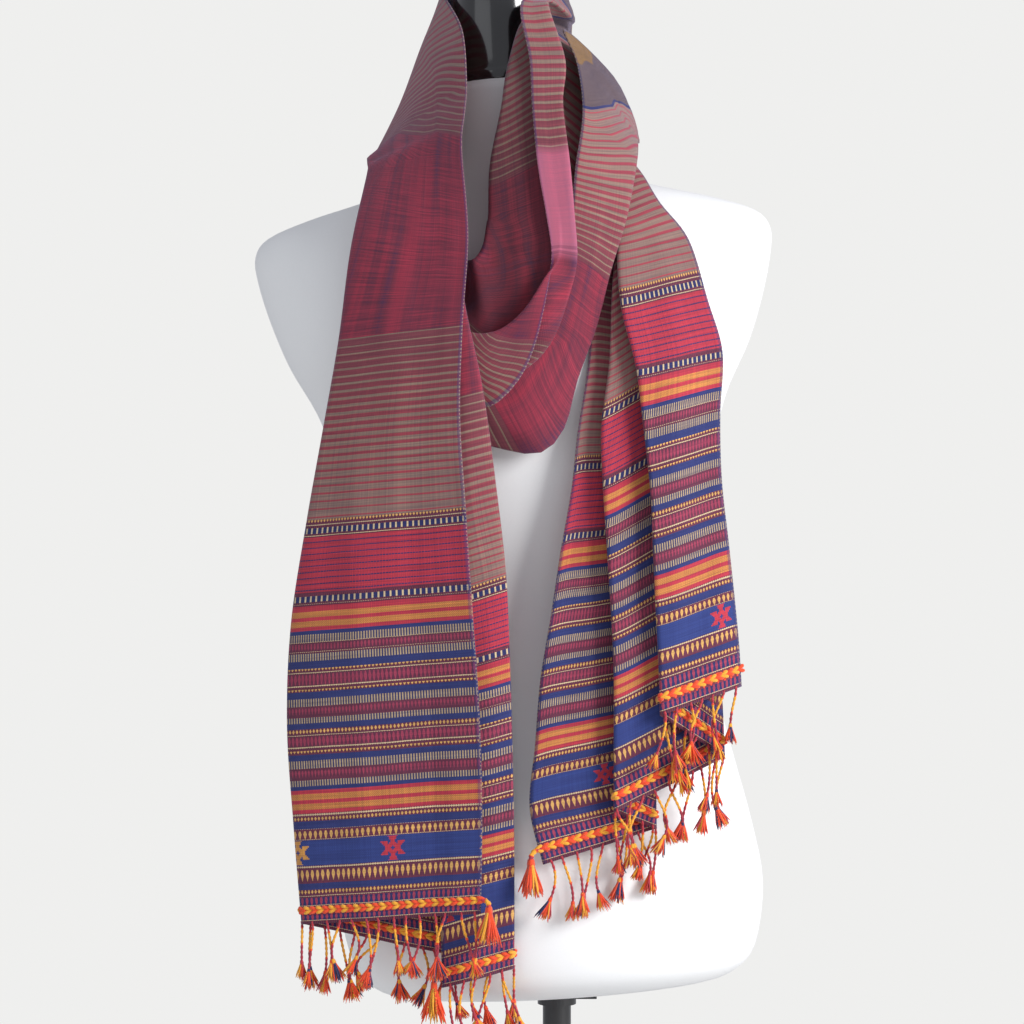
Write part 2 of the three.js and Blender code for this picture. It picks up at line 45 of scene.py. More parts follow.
# form, rows of height over its bottom, half width, half depth before and behind
form = {"lean": 3.4, "bottom": 330, "sides": 96, "neckStart": 703.3}
formRows = [
    (0, 118, 70, 72), (5, 138, 86, 88), (24, 156, 103, 104), (72, 165, 110, 112),
    (120, 159, 107, 110), (167, 149, 101, 105), (230, 136, 92, 96), (300, 127, 86, 88),
    (360, 134, 90, 88), (420, 149, 100, 92), (455, 160, 108, 95), (492, 179, 110, 97),
    (528, 192, 104, 96), (560, 200, 92, 90), (580, 201, 81, 80), (594, 190, 70, 68),
    (606, 158, 61, 60), (616, 120, 56, 56), (628, 80, 53, 54), (642, 60, 50, 52),
    (665, 50, 47, 48), (703, 43, 43, 43),
]
neckRows = [(0, 42.5), (6, 43), (12, 41), (40, 38), (66, 35.5), (84, 31), (92, 22), (95, 8)]

# stole: stations along it from the left hem. Each has its turn about the form, the bow of its layers,
# the gaps at the four inner rails and the cloth's own length at the six rails (one number where all
# are alike), and the rails as (right, front, up): edge, soft line, three folds and far edge
leftFall = [
    (0, 6, (0, 6, -6, 0), 0, (-58, 134, 403), (-92, 124, 400), (-193, 92, 390), (-33, 112, 360),
     (-60, 121, 353), (-87, 117, 346)),
    (0, 7, (0, 6, -6, 0), 74, (-57, 137, 476), (-92, 126, 473), (-199, 92, 463), (-33, 114, 439),
     (-60, 123, 433), (-88, 120, 423)),
    (0, 8, (0, 6, -6, 0), 150, (-59, 140, 552), (-95, 128, 549), (-204, 92, 539), (-34, 117, 509),
     (-62, 126, 502), (-88, 123, 493)),
    (0, 8, (0, 6, -6, 0), 228, (-64, 143, 627), (-99, 131, 624), (-201, 93, 615), (-36, 120, 580),
     (-65, 129, 572), (-90, 126, 563)),
    (0, 8, (0, 6, -6, 0), 306, (-69, 148, 702), (-99, 138, 699), (-189, 95, 692), (-39, 126, 652),
     (-70, 134, 642), (-93, 129, 634)),
    (0, 8, (0, 5, -5, 0), 377, (-73, 157, 770), (-99, 146, 768), (-176, 104, 762), (-46, 138, 715),
     (-77, 143, 706), (-99, 136, 700)),
    (2, 8, (0, 5, -5, 0), 445, (-71, 161, 835), (-95, 151, 833), (-164, 113, 827), (-56, 149, 788),
     (-80, 150, 782), (-100, 143, 778)),
    (6, 8, (0, 5, -5, 0), (515, 509, 497, 515, 515, 515), (-67, 159, 901), (-89, 148, 899),
     (-155, 113, 894), (-71, 143, 860), (-86, 146, 857), (-101, 144, 854)),
    (14, 6, (0, 5, -4, 0), (583, 577, 556, 583, 583, 583), (-72, 134, 967), (-92, 118, 966),
     (-144, 79, 954), (-80, 113, 931), (-91, 116, 925), (-104, 114, 921)),
    (23, 2, (0, 5, -3, 0), (612, 597, 562, 612, 612, 612), (-70, 116, 996), (-92, 101, 988),
     (-144, 65, 962), (-81, 104, 960), (-79, 108, 962), (-77, 113, 964)),
    (32, -1, (0, 5, -3, 0), (636, 614, 568, 636, 636, 636), (-69, 94, 1021), (-92, 80, 1006),
     (-145, 47, 969), (-84, 90, 987), (-81, 94, 993), (-78, 97, 998)),
]
outerTurn = [
    (58, -4, (0, 5, 0, 0), (673, 649, 598, 671, 674, 658), (-73, 60, 1066), (-95, 48, 1036),
     (-145, 22, 966), (-96, 39, 1034), (-94, 37, 1038), (-92, 36, 1042)),
    (90, -4, (0, 5, 0, 0), (713, 686, 624, 694, 698, 671), (-88, 0, 1103), (-105, -1, 1062),
     (-144, -4, 968), (-113, 0, 1026), (-110, 0, 1031), (-107, 0, 1036)),
    (112, -5, (0, 4, 0, 0), (729, 705, 651, 715, 719, 682), (-86, -17, 1113), (-100, -23, 1074),
     (-134, -37, 984), (-123, -32, 994), (-118, -30, 1001), (-113, -28, 1008)),
    (128, -4, (0, 2, 0, 0), (740, 721, 680, 729, 731, 691), (-79, -28, 1118), (-89, -36, 1088),
     (-111, -53, 1018), (-105, -49, 1010), (-104, -48, 1000), (-106, -49, 990)),
    (145, -2, 0, (753, 739, 714, 747, 747, 700), (-70, -39, 1122), (-74, -44, 1105), (-83, -57, 1064),
     (-87, -62, 1040), (-93, -72, 1010), (-99, -80, 986)),
    (180, 0, 0, (776, 766, 749, 772, 775, 717), (-43, -47, 1126), (-43, -52, 1113), (-43, -64, 1084),
     (-43, -66, 1056), (-43, -84, 1022), (-43, -96, 992)),
    (215, 0, 0, (798, 792, 781, 793, 802, 762), (-16, -39, 1125), (-13, -43, 1113), (-6, -52, 1084),
     (-6, -52, 1060), (7, -72, 1016), (14, -82, 990)),
]
cowlRight = [
    (240, 10, 0, (814, 810, 804, 809, 822, 840), (-3, -23, 1120), (1, -25, 1109), (11, -31, 1082),
     (9, -30, 1066), (33, -47, 1006), (46, -52, 990)),
    (257, 20, (0, 1, 1, -1), (826, 822, 818, 819, 839, 862), (2, -10, 1115), (7, -11, 1105),
     (11, -14, 1081), (11, -12, 1070), (56, -23, 992), (63, -26, 995)),
    (272, 25, (0, 2, 2, -3), (836, 834, 833, 828, 852, 856), (3, 2, 1110), (8, 2, 1101), (13, 3, 1080),
     (8, 1, 1073), (63, 2, 986), (59, 6, 1006)),
    (298, 25, (0, 4, 3, -4), (852, 851, 853, 838, 867, 838), (0, 23, 1100), (5, 25, 1093), (10, 29, 1080),
     (3, 17, 1076), (60, 29, 986), (43, 33, 1034)),
    (330, 13, (0, 5, 4, -5), (880, 880, 880, 859, 879, 790), (-28, 60, 1087), (-20, 60, 1086),
     (-8, 58, 1087), (-24, 48, 1078), (61, 40, 984), (5, 54, 1067)),
    (350, 7, (0, 5, 5, -5), (920, 920, 921, 894, 880, 816), (-22, 86, 1040), (-11, 86, 1040),
     (5, 84, 1039), (-38, 72, 1039), (61, 50, 982), (14, 72, 1039)),
    (360, 4, (0, 5, 5, -5), (956, 954, 952, 929, 890, 856), (-20, 110, 998), (-9, 110, 1000),
     (3, 108, 1003), (-44, 94, 1000), (60, 76, 966), (18, 92, 999)),
    (360, 3, (0, 5, 5, -5), (994, 993, 993, 970, 915, 904), (-16, 126, 955), (-4, 126, 955),
     (8, 124, 957), (-52, 108, 957), (55, 96, 937), (12, 111, 955)),
    (360, 3, (0, 5, 5, -5), (1025, 1025, 1025, 1006, 941, 953), (-10, 133, 919), (0, 133, 919),
     (11, 131, 920), (-53, 114, 921), (49, 106, 911), (8, 119, 914)),
    (360, 3, (1, 5, 5, -5), (1052, 1055, 1057, 1013, 976, 1015), (-6, 137, 889), (0, 138, 888),
     (13, 135, 883), (-54, 116, 914), (39, 111, 879), (1, 123, 867)),
    (360, 2, (3, 4, 5, -5), (1079, 1071, 1086, 1021, 1004, 1054), (-9, 141, 862), (-11, 140, 871),
     (6, 133, 854), (-55, 118, 907), (33, 113, 855), (-8, 124, 837)),
    (360, 2, (4, 4, 5, -5), (1100, 1086, 1110, 1028, 1036, 1080), (-13, 142, 841), (-21, 140, 855),
     (-3, 133, 829), (-56, 119, 900), (26, 114, 830), (-17, 124, 819)),
    (360, 2, (4, 4, 5, -5), (1126, 1098, 1132, 1034, 1061, 1095), (-20, 142, 816), (-31, 139, 843),
     (-16, 133, 811), (-58, 119, 894), (14, 115, 797), (-29, 124, 803)),
    (360, 2, (4, 4, 5, -5), (1149, 1111, 1153, 1039, 1088, 1109), (-30, 141, 796), (-43, 138, 834),
     (-34, 132, 798), (-61, 120, 889), (4, 115, 761), (-44, 123, 789)),
    (360, 2, (4, 4, 5, -5), (1171, 1119, 1168, 1045, 1106, 1120), (-45, 140, 780), (-53, 137, 831),
     (-48, 131, 790), (-65, 120, 886), (-13, 115, 743), (-59, 122, 786)),
]
cowlLeft = [
    (360, 11, (4, 4, 5, -4), (1183, 1130, 1180, 1061, 1123, 1131), (-58, 136, 776), (-62, 135, 831),
     (-62, 129, 789), (-71, 104, 887), (-39, 108, 745), (-71, 119, 787)),
    (362, 9, (4, 4, 5, -4), (1203, 1148, 1197, 1074, 1145, 1147), (-82, 134, 783), (-79, 132, 836),
     (-81, 126, 798), (-77, 102, 889), (-72, 107, 756), (-88, 117, 795)),
    (366, 7, (4, 4, 5, -4), (1226, 1169, 1217, 1090, 1171, 1168), (-104, 129, 799), (-96, 128, 847),
     (-100, 124, 815), (-82, 98, 896), (-105, 104, 779), (-108, 114, 812)),
    (370, 5, (4, 4, 5, -4), (1252, 1194, 1241, 1109, 1199, 1192), (-121, 125, 825), (-109, 119, 865),
     (-117, 116, 839), (-86, 92, 906), (-131, 100, 813), (-123, 108, 836)),
    (376, 5, (4, 4, 5, -4), (1281, 1225, 1268, 1134, 1229, 1218), (-133, 115, 856), (-120, 105, 892),
     (-129, 105, 868), (-89, 81, 921), (-148, 90, 852), (-135, 96, 864)),
    (388, 1, (3, 3, 5, -4), (1312, 1255, 1296, 1164, 1259, 1247), (-138, 100, 890), (-131, 88, 916),
     (-133, 89, 901), (-88, 101, 938), (-155, 76, 892), (-143, 83, 898)),
    (405, 0, (3, 3, 5, -3), (1356, 1295, 1331, 1242, 1296, 1287), (-131, 80, 938), (-129, 80, 950),
     (-128, 77, 936), (-90, 52, 1014), (-123, 73, 930), (-124, 73, 940)),
    (418, -1, (3, 3, 5, -3), (1378, 1318, 1352, 1264, 1316, 1306), (-134, 57, 950), (-133, 56, 955),
     (-130, 55, 952), (-96, 34, 1022), (-125, 51, 944), (-126, 52, 948)),
]
innerTurn = [
    (432, -1, (2, 2, 5, -2), (1402, 1345, 1376, 1287, 1337, 1328), (-136, 30, 960), (-134, 30, 964),
     (-132, 29, 968), (-97, 18, 1030), (-127, 27, 961), (-129, 28, 957)),
    (455, -1, (0, 0, 5, 0), (1433, 1379, 1405, 1316, 1364, 1356), (-136, -8, 964), (-133, -8, 968),
     (-131, -8, 973), (-96, -5, 1036), (-126, -7, 965), (-128, -7, 960)),
    (485, -1, (0, 0, 5, 0), (1472, 1422, 1440, 1350, 1395, 1391), (-113, -49, 961), (-111, -48, 966),
     (-109, -46, 970), (-84, -28, 1038), (-105, -43, 962), (-106, -44, 957)),
    (515, -1, (0, 0, 5, 0), (1507, 1460, 1472, 1381, 1424, 1422), (-77, -73, 958), (-76, -71, 963),
     (-75, -69, 968), (-63, -44, 1040), (-73, -64, 959), (-73, -65, 954)),
    (540, -1, (0, 0, 5, 0), (1536, 1491, 1498, 1407, 1447, 1448), (-43, -79, 957), (-43, -77, 962),
     (-43, -75, 967), (-43, -48, 1040), (-43, -70, 958), (-43, -71, 953)),
    (570, -1, (0, 0, 5, 0), (1570, 1529, 1529, 1438, 1475, 1478), (-3, -70, 960), (-3, -68, 965),
     (-4, -67, 969), (-19, -42, 1039), (-7, -62, 961), (-7, -63, 956)),
    (600, -1, (0, 0, 5, 0), (1606, 1569, 1562, 1470, 1505, 1511), (33, -44, 966), (31, -43, 970),
     (29, -42, 974), (0, -25, 1036), (25, -39, 966), (26, -40, 961)),
    (625, -1, (0, 0, 5, 0), (1639, 1605, 1592, 1499, 1532, 1540), (51, -8, 969), (48, -8, 973),
     (46, -8, 977), (10, -5, 1032), (41, -7, 968), (43, -7, 964)),
]
rightFall = [
    (648, -1, (0, 0, 5, 0), (1670, 1640, 1620, 1528, 1558, 1569), (47, 29, 964), (47, 30, 967),
     (42, 27, 971), (11, 18, 1024), (38, 26, 963), (40, 27, 960)),
    (676, 0, (3, 3, 3, 2), (1693, 1671, 1642, 1563, 1579, 1595), (55, 52, 966), (40, 60, 982),
     (47, 52, 962), (8, 49, 1004), (33, 51, 957), (30, 59, 951)),
    (700, 0, 3, (1714, 1691, 1662, 1611, 1605, 1633), (64, 66, 955), (40, 67, 969), (59, 63, 953),
     (36, 68, 960), (44, 76, 931), (22, 92, 906)),
    (712, 1, 3, (1743, 1733, 1696, 1660, 1639, 1668), (77, 77, 932), (45, 87, 930), (70, 82, 917),
     (42, 90, 914), (49, 94, 889), (25, 106, 865)),
    (718, 2, 4, (1770, 1769, 1737, 1716, 1691, 1721), (98, 84, 904), (43, 105, 891), (87, 91, 876),
     (39, 112, 857), (61, 100, 841), (22, 110, 812)),
    (720, 3, 5, (1815, 1808, 1777, 1762, 1742, 1773), (111, 105, 857), (46, 124, 848), (98, 100, 835),
     (37, 118, 810), (61, 104, 794), (14, 116, 760)),
    (720, 4, 6, (1853, 1848, 1819, 1810, 1789, 1818), (122, 106, 818), (56, 126, 808), (104, 101, 794),
     (31, 121, 763), (60, 105, 750), (9, 117, 715)),
    (720, 5, 6, (1899, 1893, 1867, 1854, 1836, 1864), (120, 109, 771), (62, 128, 761), (108, 103, 747),
     (32, 122, 720), (63, 106, 706), (1, 118, 669)),
    (720, 6, 6, (1947, 1939, 1915, 1902, 1888, 1911), (121, 111, 723), (67, 130, 714), (111, 105, 699),
     (35, 124, 672), (66, 106, 658), (-6, 119, 623)),
    (720, 6, 6, (1993, 1984, 1962, 1950, 1941, 1960), (126, 111, 677), (69, 131, 667), (114, 105, 652),
     (38, 125, 625), (68, 106, 610), (-14, 120, 575)),
    (720, 6, 6, (2039, 2029, 2010, 1998, 1989, 2009), (131, 110, 631), (71, 131, 622), (119, 105, 605),
     (40, 126, 578), (69, 106, 565), (-18, 121, 526)),
    (720, 6, 6, (2069, 2065, 2057, 2049, 2041, 2056), (134, 109, 600), (73, 131, 585), (122, 104, 559),
     (40, 126, 528), (72, 106, 517), (-22, 122, 480)),
    (720, 6, 6, 2100, (136, 108, 569), (74, 131, 549), (124, 104, 516), (40, 126, 477), (73, 107, 463),
     (-12, 123, 438)),
]
def station(turn, bow, gaps, along, *rails):
    return {"turn": turn, "bow": bow, "gaps": np.full(4, gaps), "along": np.full(6, along),
            "rails": np.array(rails, float)}


stations = [station(*row) for row in leftFall + outerTurn + cowlRight + cowlLeft + innerTurn + rightFall]
cloth = {"width": 350, "length": 2100, "thick": 0.8, "rowStep": 6.5, "foldReach": 5,
         "pleat": 2.3, "pleatSize": (24, 30, 230), "rumple": 0.6, "rumpleSize": (13, 13, 34),
         "calmFrom": 965, "calmOver": 70}


def through(p, t):
    a, b, c, d = p
    return 0.5 * (2 * b + (c - a) * t + (2 * a - 5 * b + 4 * c - d) * t * t
                  + (3 * b - a - 3 * c + d) * t * t * t)


# the value of a smooth curve through rows, a fraction f past row i
def between(rows, i, f):
    return through([rows[min(max(k, 0), len(rows) - 1)] for k in (i - 1, i, i + 1, i + 2)], f)


def rowAt(t):
    i = min(int(t), len(stations) - 2)
    f = t - i
    a, b = stations[i], stations[i + 1]
    at = between([s["rails"] for s in stations], i, f)
    at[:, 1] *= -1
    return {"at": at, **{k: a[k] * (1 - f) + b[k] * f for k in ("turn", "bow", "gaps", "along")}}


def layersOf(row):
    a = math.radians(row["turn"])
    out = np.array((-math.sin(a), -math.cos(a), 0))
    at, gaps = row["at"], row["gaps"]
    points, along = [], []
    for k in range(5):
        start = at[k] - out * (gaps[k - 1] / 2 if k > 0 else 0)
        end = at[k + 1] + out * (gaps[k] / 2 if k < 4 else 0)
        span = max(np.linalg.norm(end - start), 1e-6)
        near = min(cloth["foldReach"], span / 4) / span
        rise = row["bow"] * min(1, (span / 120) ** 2)
        for f, b in ((0, 0), (near, 0), (0.5, 1), (1 - near, 0), (1, 0)):
            points.append(start + (end - start) * f + out * rise * b)
            along.append(row["along"][k] * (1 - f) + row["along"][k + 1] * f)
    return np.array(points), np.array(along)


# an even curve through unevenly spaced points, steps[k] samples on each piece
def threaded(points, steps):
    p = np.vstack((2 * points[0] - points[1], points, 2 * points[-1] - points[-2]))
    knots = [0.0]
    for a, b in zip(p, p[1:]):
        knots.append(knots[-1] + max(np.linalg.norm(b[:3] - a[:3]), 0.3) ** 0.5)
    made = []
    for k, count in enumerate(steps):
        p0, p1, p2, p3 = p[k:k + 4]
        t0, t1, t2, t3 = knots[k:k + 4]
        for n in range(count):
            t = t1 + (t2 - t1) * n / count
            a1 = p0 * (t1 - t) / (t1 - t0) + p1 * (t - t0) / (t1 - t0)
            a2 = p1 * (t2 - t) / (t2 - t1) + p2 * (t - t1) / (t2 - t1)
            a3 = p2 * (t3 - t) / (t3 - t2) + p3 * (t - t2) / (t3 - t2)
            b1 = a1 * (t2 - t) / (t2 - t0) + a2 * (t - t0) / (t2 - t0)
            b2 = a2 * (t3 - t) / (t3 - t1) + a3 * (t - t1) / (t3 - t1)
            made.append(b1 * (t2 - t) / (t2 - t1) + b2 * (t - t1) / (t2 - t1))
    made.append(p[-2])
    return np.array(made)


sectionSteps = [2, 8, 8, 2, 1] * 4 + [2, 8, 8, 2]


def sectionAt(t):
    points, along = layersOf(rowAt(t))
    line = points.copy()
    line[1:-1] = points[1:-1] * 0.75 + points[:-2] * 0.125 + points[2:] * 0.125
    return threaded(np.column_stack((line, along)), sectionSteps)


# pleats move every layer alike, so that layers never meet
def creased(p):
    size, small = cloth["pleatSize"], cloth["rumpleSize"]
    low = noise.noise(Vector((p[0] / size[0], p[1] / size[1], p[2] / size[2])))
    fine = noise.noise(Vector((p[0] / small[0] + 7, p[1] / small[1], p[2] / small[2])))
    calm = min(max((cloth["calmFrom"] - p[2]) / cloth["calmOver"], 0.2), 1)
    return (low * cloth["pleat"] + fine * cloth["rumple"]) * calm


def clothGrid():
    rows = []
    for i in range(len(stations) - 1):
        way = stations[i + 1]["rails"] - stations[i]["rails"]
        count = max(2, round(np.linalg.norm(way, axis=1).mean() / cloth["rowStep"]))
        rows += [sectionAt(i + n / count) for n in range(count)]
    rows.append(sectionAt(len(stations) - 1))
    return np.array(rows)


def normalsOf(grid):
    over = np.gradient(grid, axis=1)
    up = np.gradient(grid, axis=0)
    n = np.cross(up, over)
    return n / np.maximum(np.linalg.norm(n, axis=2, keepdims=True), 1e-9)


def across(points):
    steps = np.linalg.norm(np.diff(points, axis=1), axis=2)
    run = np.concatenate((np.zeros((len(points), 1)), np.cumsum(steps, axis=1)), axis=1)
    return run / run[:, -1:] * cloth["width"]


def placed(name, data):
    obj = bpy.data.objects.new(name, data)
    bpy.context.scene.collection.objects.link(obj)
    return obj


def meshFrom(name, points, faces, uvs=None, smooth=True):
    mesh = bpy.data.meshes.new(name)
    mesh.from_pydata([tuple(p) for p in points], [], faces)
    if uvs is not None:
        layer = mesh.uv_layers.new(name="cloth")
        corner = np.array([i for f in faces for i in f])
        layer.data.foreach_set("uv", np.asarray(uvs, np.float32)[corner].ravel())
    mesh.polygons.foreach_set("use_smooth", [smooth] * len(mesh.polygons))
    mesh.update()
    return placed(name, mesh)


# faces of a closed tube whose rings of points follow each other from the point start
def tubeFaces(start, rings, sides):
    faces = []
    for i in range(rings - 1):
        for j in range(sides):
            a, b = start + i * sides + j, start + i * sides + (j + 1) % sides
            faces.append((a, b, b + sides, a + sides))
    last = start + (rings - 1) * sides
    return faces + [tuple(range(start, start + sides))[::-1], tuple(range(last, last + sides))]


def shellFrom(name, grid, uv):
    m, n = grid.shape[:2]
    normals = normalsOf(grid)
    half = normals * cloth["thick"] / 2
    points = np.concatenate(((grid + half).reshape(-1, 3), (grid - half).reshape(-1, 3))) * mm
    index = np.arange(m * n).reshape(m, n)
    low = index + m * n
    faces = []
    for i in range(m - 1):
        for j in range(n - 1):
            a, b, c, d = index[i, j], index[i + 1, j], index[i + 1, j + 1], index[i, j + 1]
            faces.append((a, b, c, d))
            a, b, c, d = low[i, j], low[i, j + 1], low[i + 1, j + 1], low[i + 1, j]
            faces.append((a, b, c, d))
        faces.append((index[i, 0], low[i, 0], low[i + 1, 0], index[i + 1, 0]))
        faces.append((index[i, -1], index[i + 1, -1], low[i + 1, -1], low[i, -1]))
    for j in range(n - 1):
        faces.append((index[0, j], index[0, j + 1], low[0, j + 1], low[0, j]))
        faces.append((index[-1, j], low[-1, j], low[-1, j + 1], index[-1, j + 1]))
    faces = [tuple(int(k) for k in f) for f in faces]
    flat = np.tile(uv.reshape(-1, 2), (2, 1)) * mm
    return meshFrom(name, points, faces, flat)


def clothSurface():
    raw = clothGrid()
    grid, along = raw[:, :, :3], raw[:, :, 3]
    lift = np.array([[creased(p) for p in row] for row in grid])
    grid = grid - np.array((0, 1, 0)) * lift[:, :, None]
    uv = np.stack((along, across(grid)), axis=2)
    return grid, uv


stoleGrid, stoleUv = clothSurface()
stole = shellFrom("stole_cloth", stoleGrid, stoleUv)
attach(stole, "root")
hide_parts("left_fall", "neck_turn_outer", "cowl_right", "cowl_left",
            "neck_turn_inner", "right_fall")
print("stole", stoleGrid.shape)
# a new node of the family, or of the kind's own: a socket is linked to its input and a value is set
def nodeIn(tree, family, kind, wires, settings):
    node = tree.nodes.new(kind if "Node" in kind else family + kind)
    for name, value in settings.items():
        setattr(node, name, value)
    for key, value in wires:
        if isinstance(value, bpy.types.NodeSocket):
            tree.links.new(value, node.inputs[key])
        elif value is not None:
            node.inputs[key].default_value = value
    return node.outputs


def maker(tree):
    def put(kind, *values, out=0, **settings):
        return nodeIn(tree, "ShaderNode", kind, enumerate(values), settings)[out]

    def calc(operation, *values):
        return put("Math", *values, operation=operation)

    def mixed(factor, a, b, how="MIX"):
        wires = zip((0, 6, 7), (factor, a, b))
        return nodeIn(tree, "ShaderNode", "Mix", wires, {"data_type": "RGBA", "blend_type": how})[2]

    def ramp(value, stops, how="CONSTANT"):
        node = tree.nodes.new("ShaderNodeValToRGB")
        node.color_ramp.interpolation = how
        elements = node.color_ramp.elements
        elements.remove(elements[1])
        for k, (place, colour) in enumerate(stops):
            element = elements[0] if k == 0 else elements.new(place)
            element.position, element.color = place, colour
        tree.links.new(value, node.inputs[0])
        return node.outputs[0]

    def combined(x, y, z):
        return put("CombineXYZ", x, y, z)

    return put, calc, mixed, ramp, combined


def tone(text):
    parts = [int(text[k:k + 2], 16) / 255 for k in (0, 2, 4)]
    return tuple(c / 12.92 if c < 0.04045 else ((c + 0.055) / 1.055) ** 2.4 for c in parts) + (1,)


yarn = """
olive 857468 sand 93806a cream d2bc90 mustard 80602e mauve 5a4a4c crimson a82c42 maroon 762a3e
violet 4a2a54 red bc3040 rose 9c3650 gold cc9248 rust b85a34 corn d8a85c navy 20265c cobalt 26336f
blue 263c7e dusk 48223a plum 62263e tan b09a78 pink c8708c flame ee4c1c sun f2ac2c
""".split()
yarn = {name: tone(text) for name, text in zip(yarn[::2], yarn[1::2])}

# border: each band's name and where it starts, in units of 0.124 mm, rising towards the hem
unit = 0.124
hemUnits = 2877
rampUnits = 3000.0  # the border's ramps run from 0 to 1 over these
bands = """
bead 398 dusk 424 cream 432 dusk 444 dash 455 dusk 489 cream 499 red 512 cream 846 dusk 858
dash 869 dusk 903 cream 918 red 931 gold 962 red 1000 gold 1024 red 1062 navy 1082 hatch 1113
cream 1154 small 1166 cream 1208 hatch 1226 navy 1268 bead 1316 cream 1340 wide 1358 cream 1424
bead 1442 navy 1469 hatch 1510 cream 1548 small 1562 cream 1606 hatch 1620 navy 1656 bead 1698
cream 1728 wide 1742 cream 1798 bead 1818 navy 1845 hatch 1884 cream 1922 small 1936 cream 1982
hatch 1994 navy 2032 red 2060 gold 2085 red 2113 gold 2135 red 2170 cream 2200 bead 2222
navy 2250 cream 2288 lozenge 2302 cream 2351 blue 2360 cream 2494 lozenge 2512 cream 2570
navy 2580 bead 2622 cream 2652 square 2668 cream 2712 chain 2728 square 2784 cream 2832
dusk 2846
""".split()
bands = list(zip(bands[::2], (int(t) for t in bands[1::2])))

# how each band is woven: ground, figure, repeat in mm, slope, share, and 1 for a twill
weaves = {
    "dusk": ("dusk", "maroon", 1.6, 0, 0.5, 0), "cream": ("plum", "cream", 1.7, 2.2, 1.35, 0),
    "bead": ("plum", "corn", 2.6, 0.8, 0.72, 0), "dash": ("navy", "cream", 4.3, 0, 0.3, 0),
    "red": ("red", "crimson", 1.3, 0, 0.4, 0), "gold": ("gold", "rust", 1.5, 0, 0.4, 1),
    "navy": ("cobalt", "navy", 1.5, 0, 0.3, 1), "hatch": ("navy", "tan", 1.9, 0, 0.5, 0),
    "small": ("plum", "rose", 2.5, 0.5, 0.66, 0), "wide": ("plum", "rose", 2.9, 0.6, 0.78, 0),
    "lozenge": ("plum", "corn", 3.9, 0.5, 0.66, 0), "blue": ("blue", "cobalt", 1.6, 0, 0.4, 1),
    "square": ("navy", "rose", 3.6, 0.3, 0.6, 0), "chain": ("maroon", "flame", 5.6, 0.8, 1.0, 0),
}


# a value for every band, as constant ramps of at most 30 stops over the border
def bandRamp(calc, mixed, ramp, height, valueOf):
    made = None
    ends = [b[1] for b in bands[1:]] + [hemUnits]
    for first in range(0, len(bands), 30):
        part = bands[first:first + 30]
        here = ramp(height, [(start / rampUnits, valueOf(name, start, ends[first + k]))
                             for k, (name, start) in enumerate(part)])
        past = calc("GREATER_THAN", height, part[0][1] / rampUnits) if made else None
        made = mixed(past, made, here) if made else here
    return made


# the cloth from its hem: where each zone starts and how red its lines are, and the blocks at the nape
zones = [(306, 0), (445, 1), (588, 1), (727, 0), (853, 0), (985, 1), (1050, 1)]
blocks = [(727, "navy"), (729.5, "mauve"), (765, "gold"), (767, "mustard"), (813, "gold"),
          (815, "mauve"), (850.5, "navy")]
lines = {"pitch": 5.7, "few": 0.15, "many": 0.87, "soft": 0.07, "ragged": 0.12}
redBlock = {"start": 520, "end": 846, "first": 505, "pitch": 37, "line": 0.2, "dotPitch": 2.2, "dot": 0.86}
stars = {"middle": 2427, "half": 64, "pitch": 70, "first": 42, "cell": 1.0, "rightShift": 50}
selvedge = {"wide": 4.2, "ragged": 3.0, "blue": 0.5, "dotPitch": 2.9, "dots": 0.3}
# painted highlight: the lapel stretch, where the light falls strongly, made pinker and lighter
lapelHighlight = {"middle": 1018, "half": 32, "wide": 48, "pink": 0.55}
# painted shade: the inside of the cowl, darkened where its folds shade it
cowlPaintedShade = {"middle": 1000, "half": 105, "across": 107, "wide": 44, "darker": 0.42}
yarnPitch = {"weft": 0.9, "warp": 0.8}


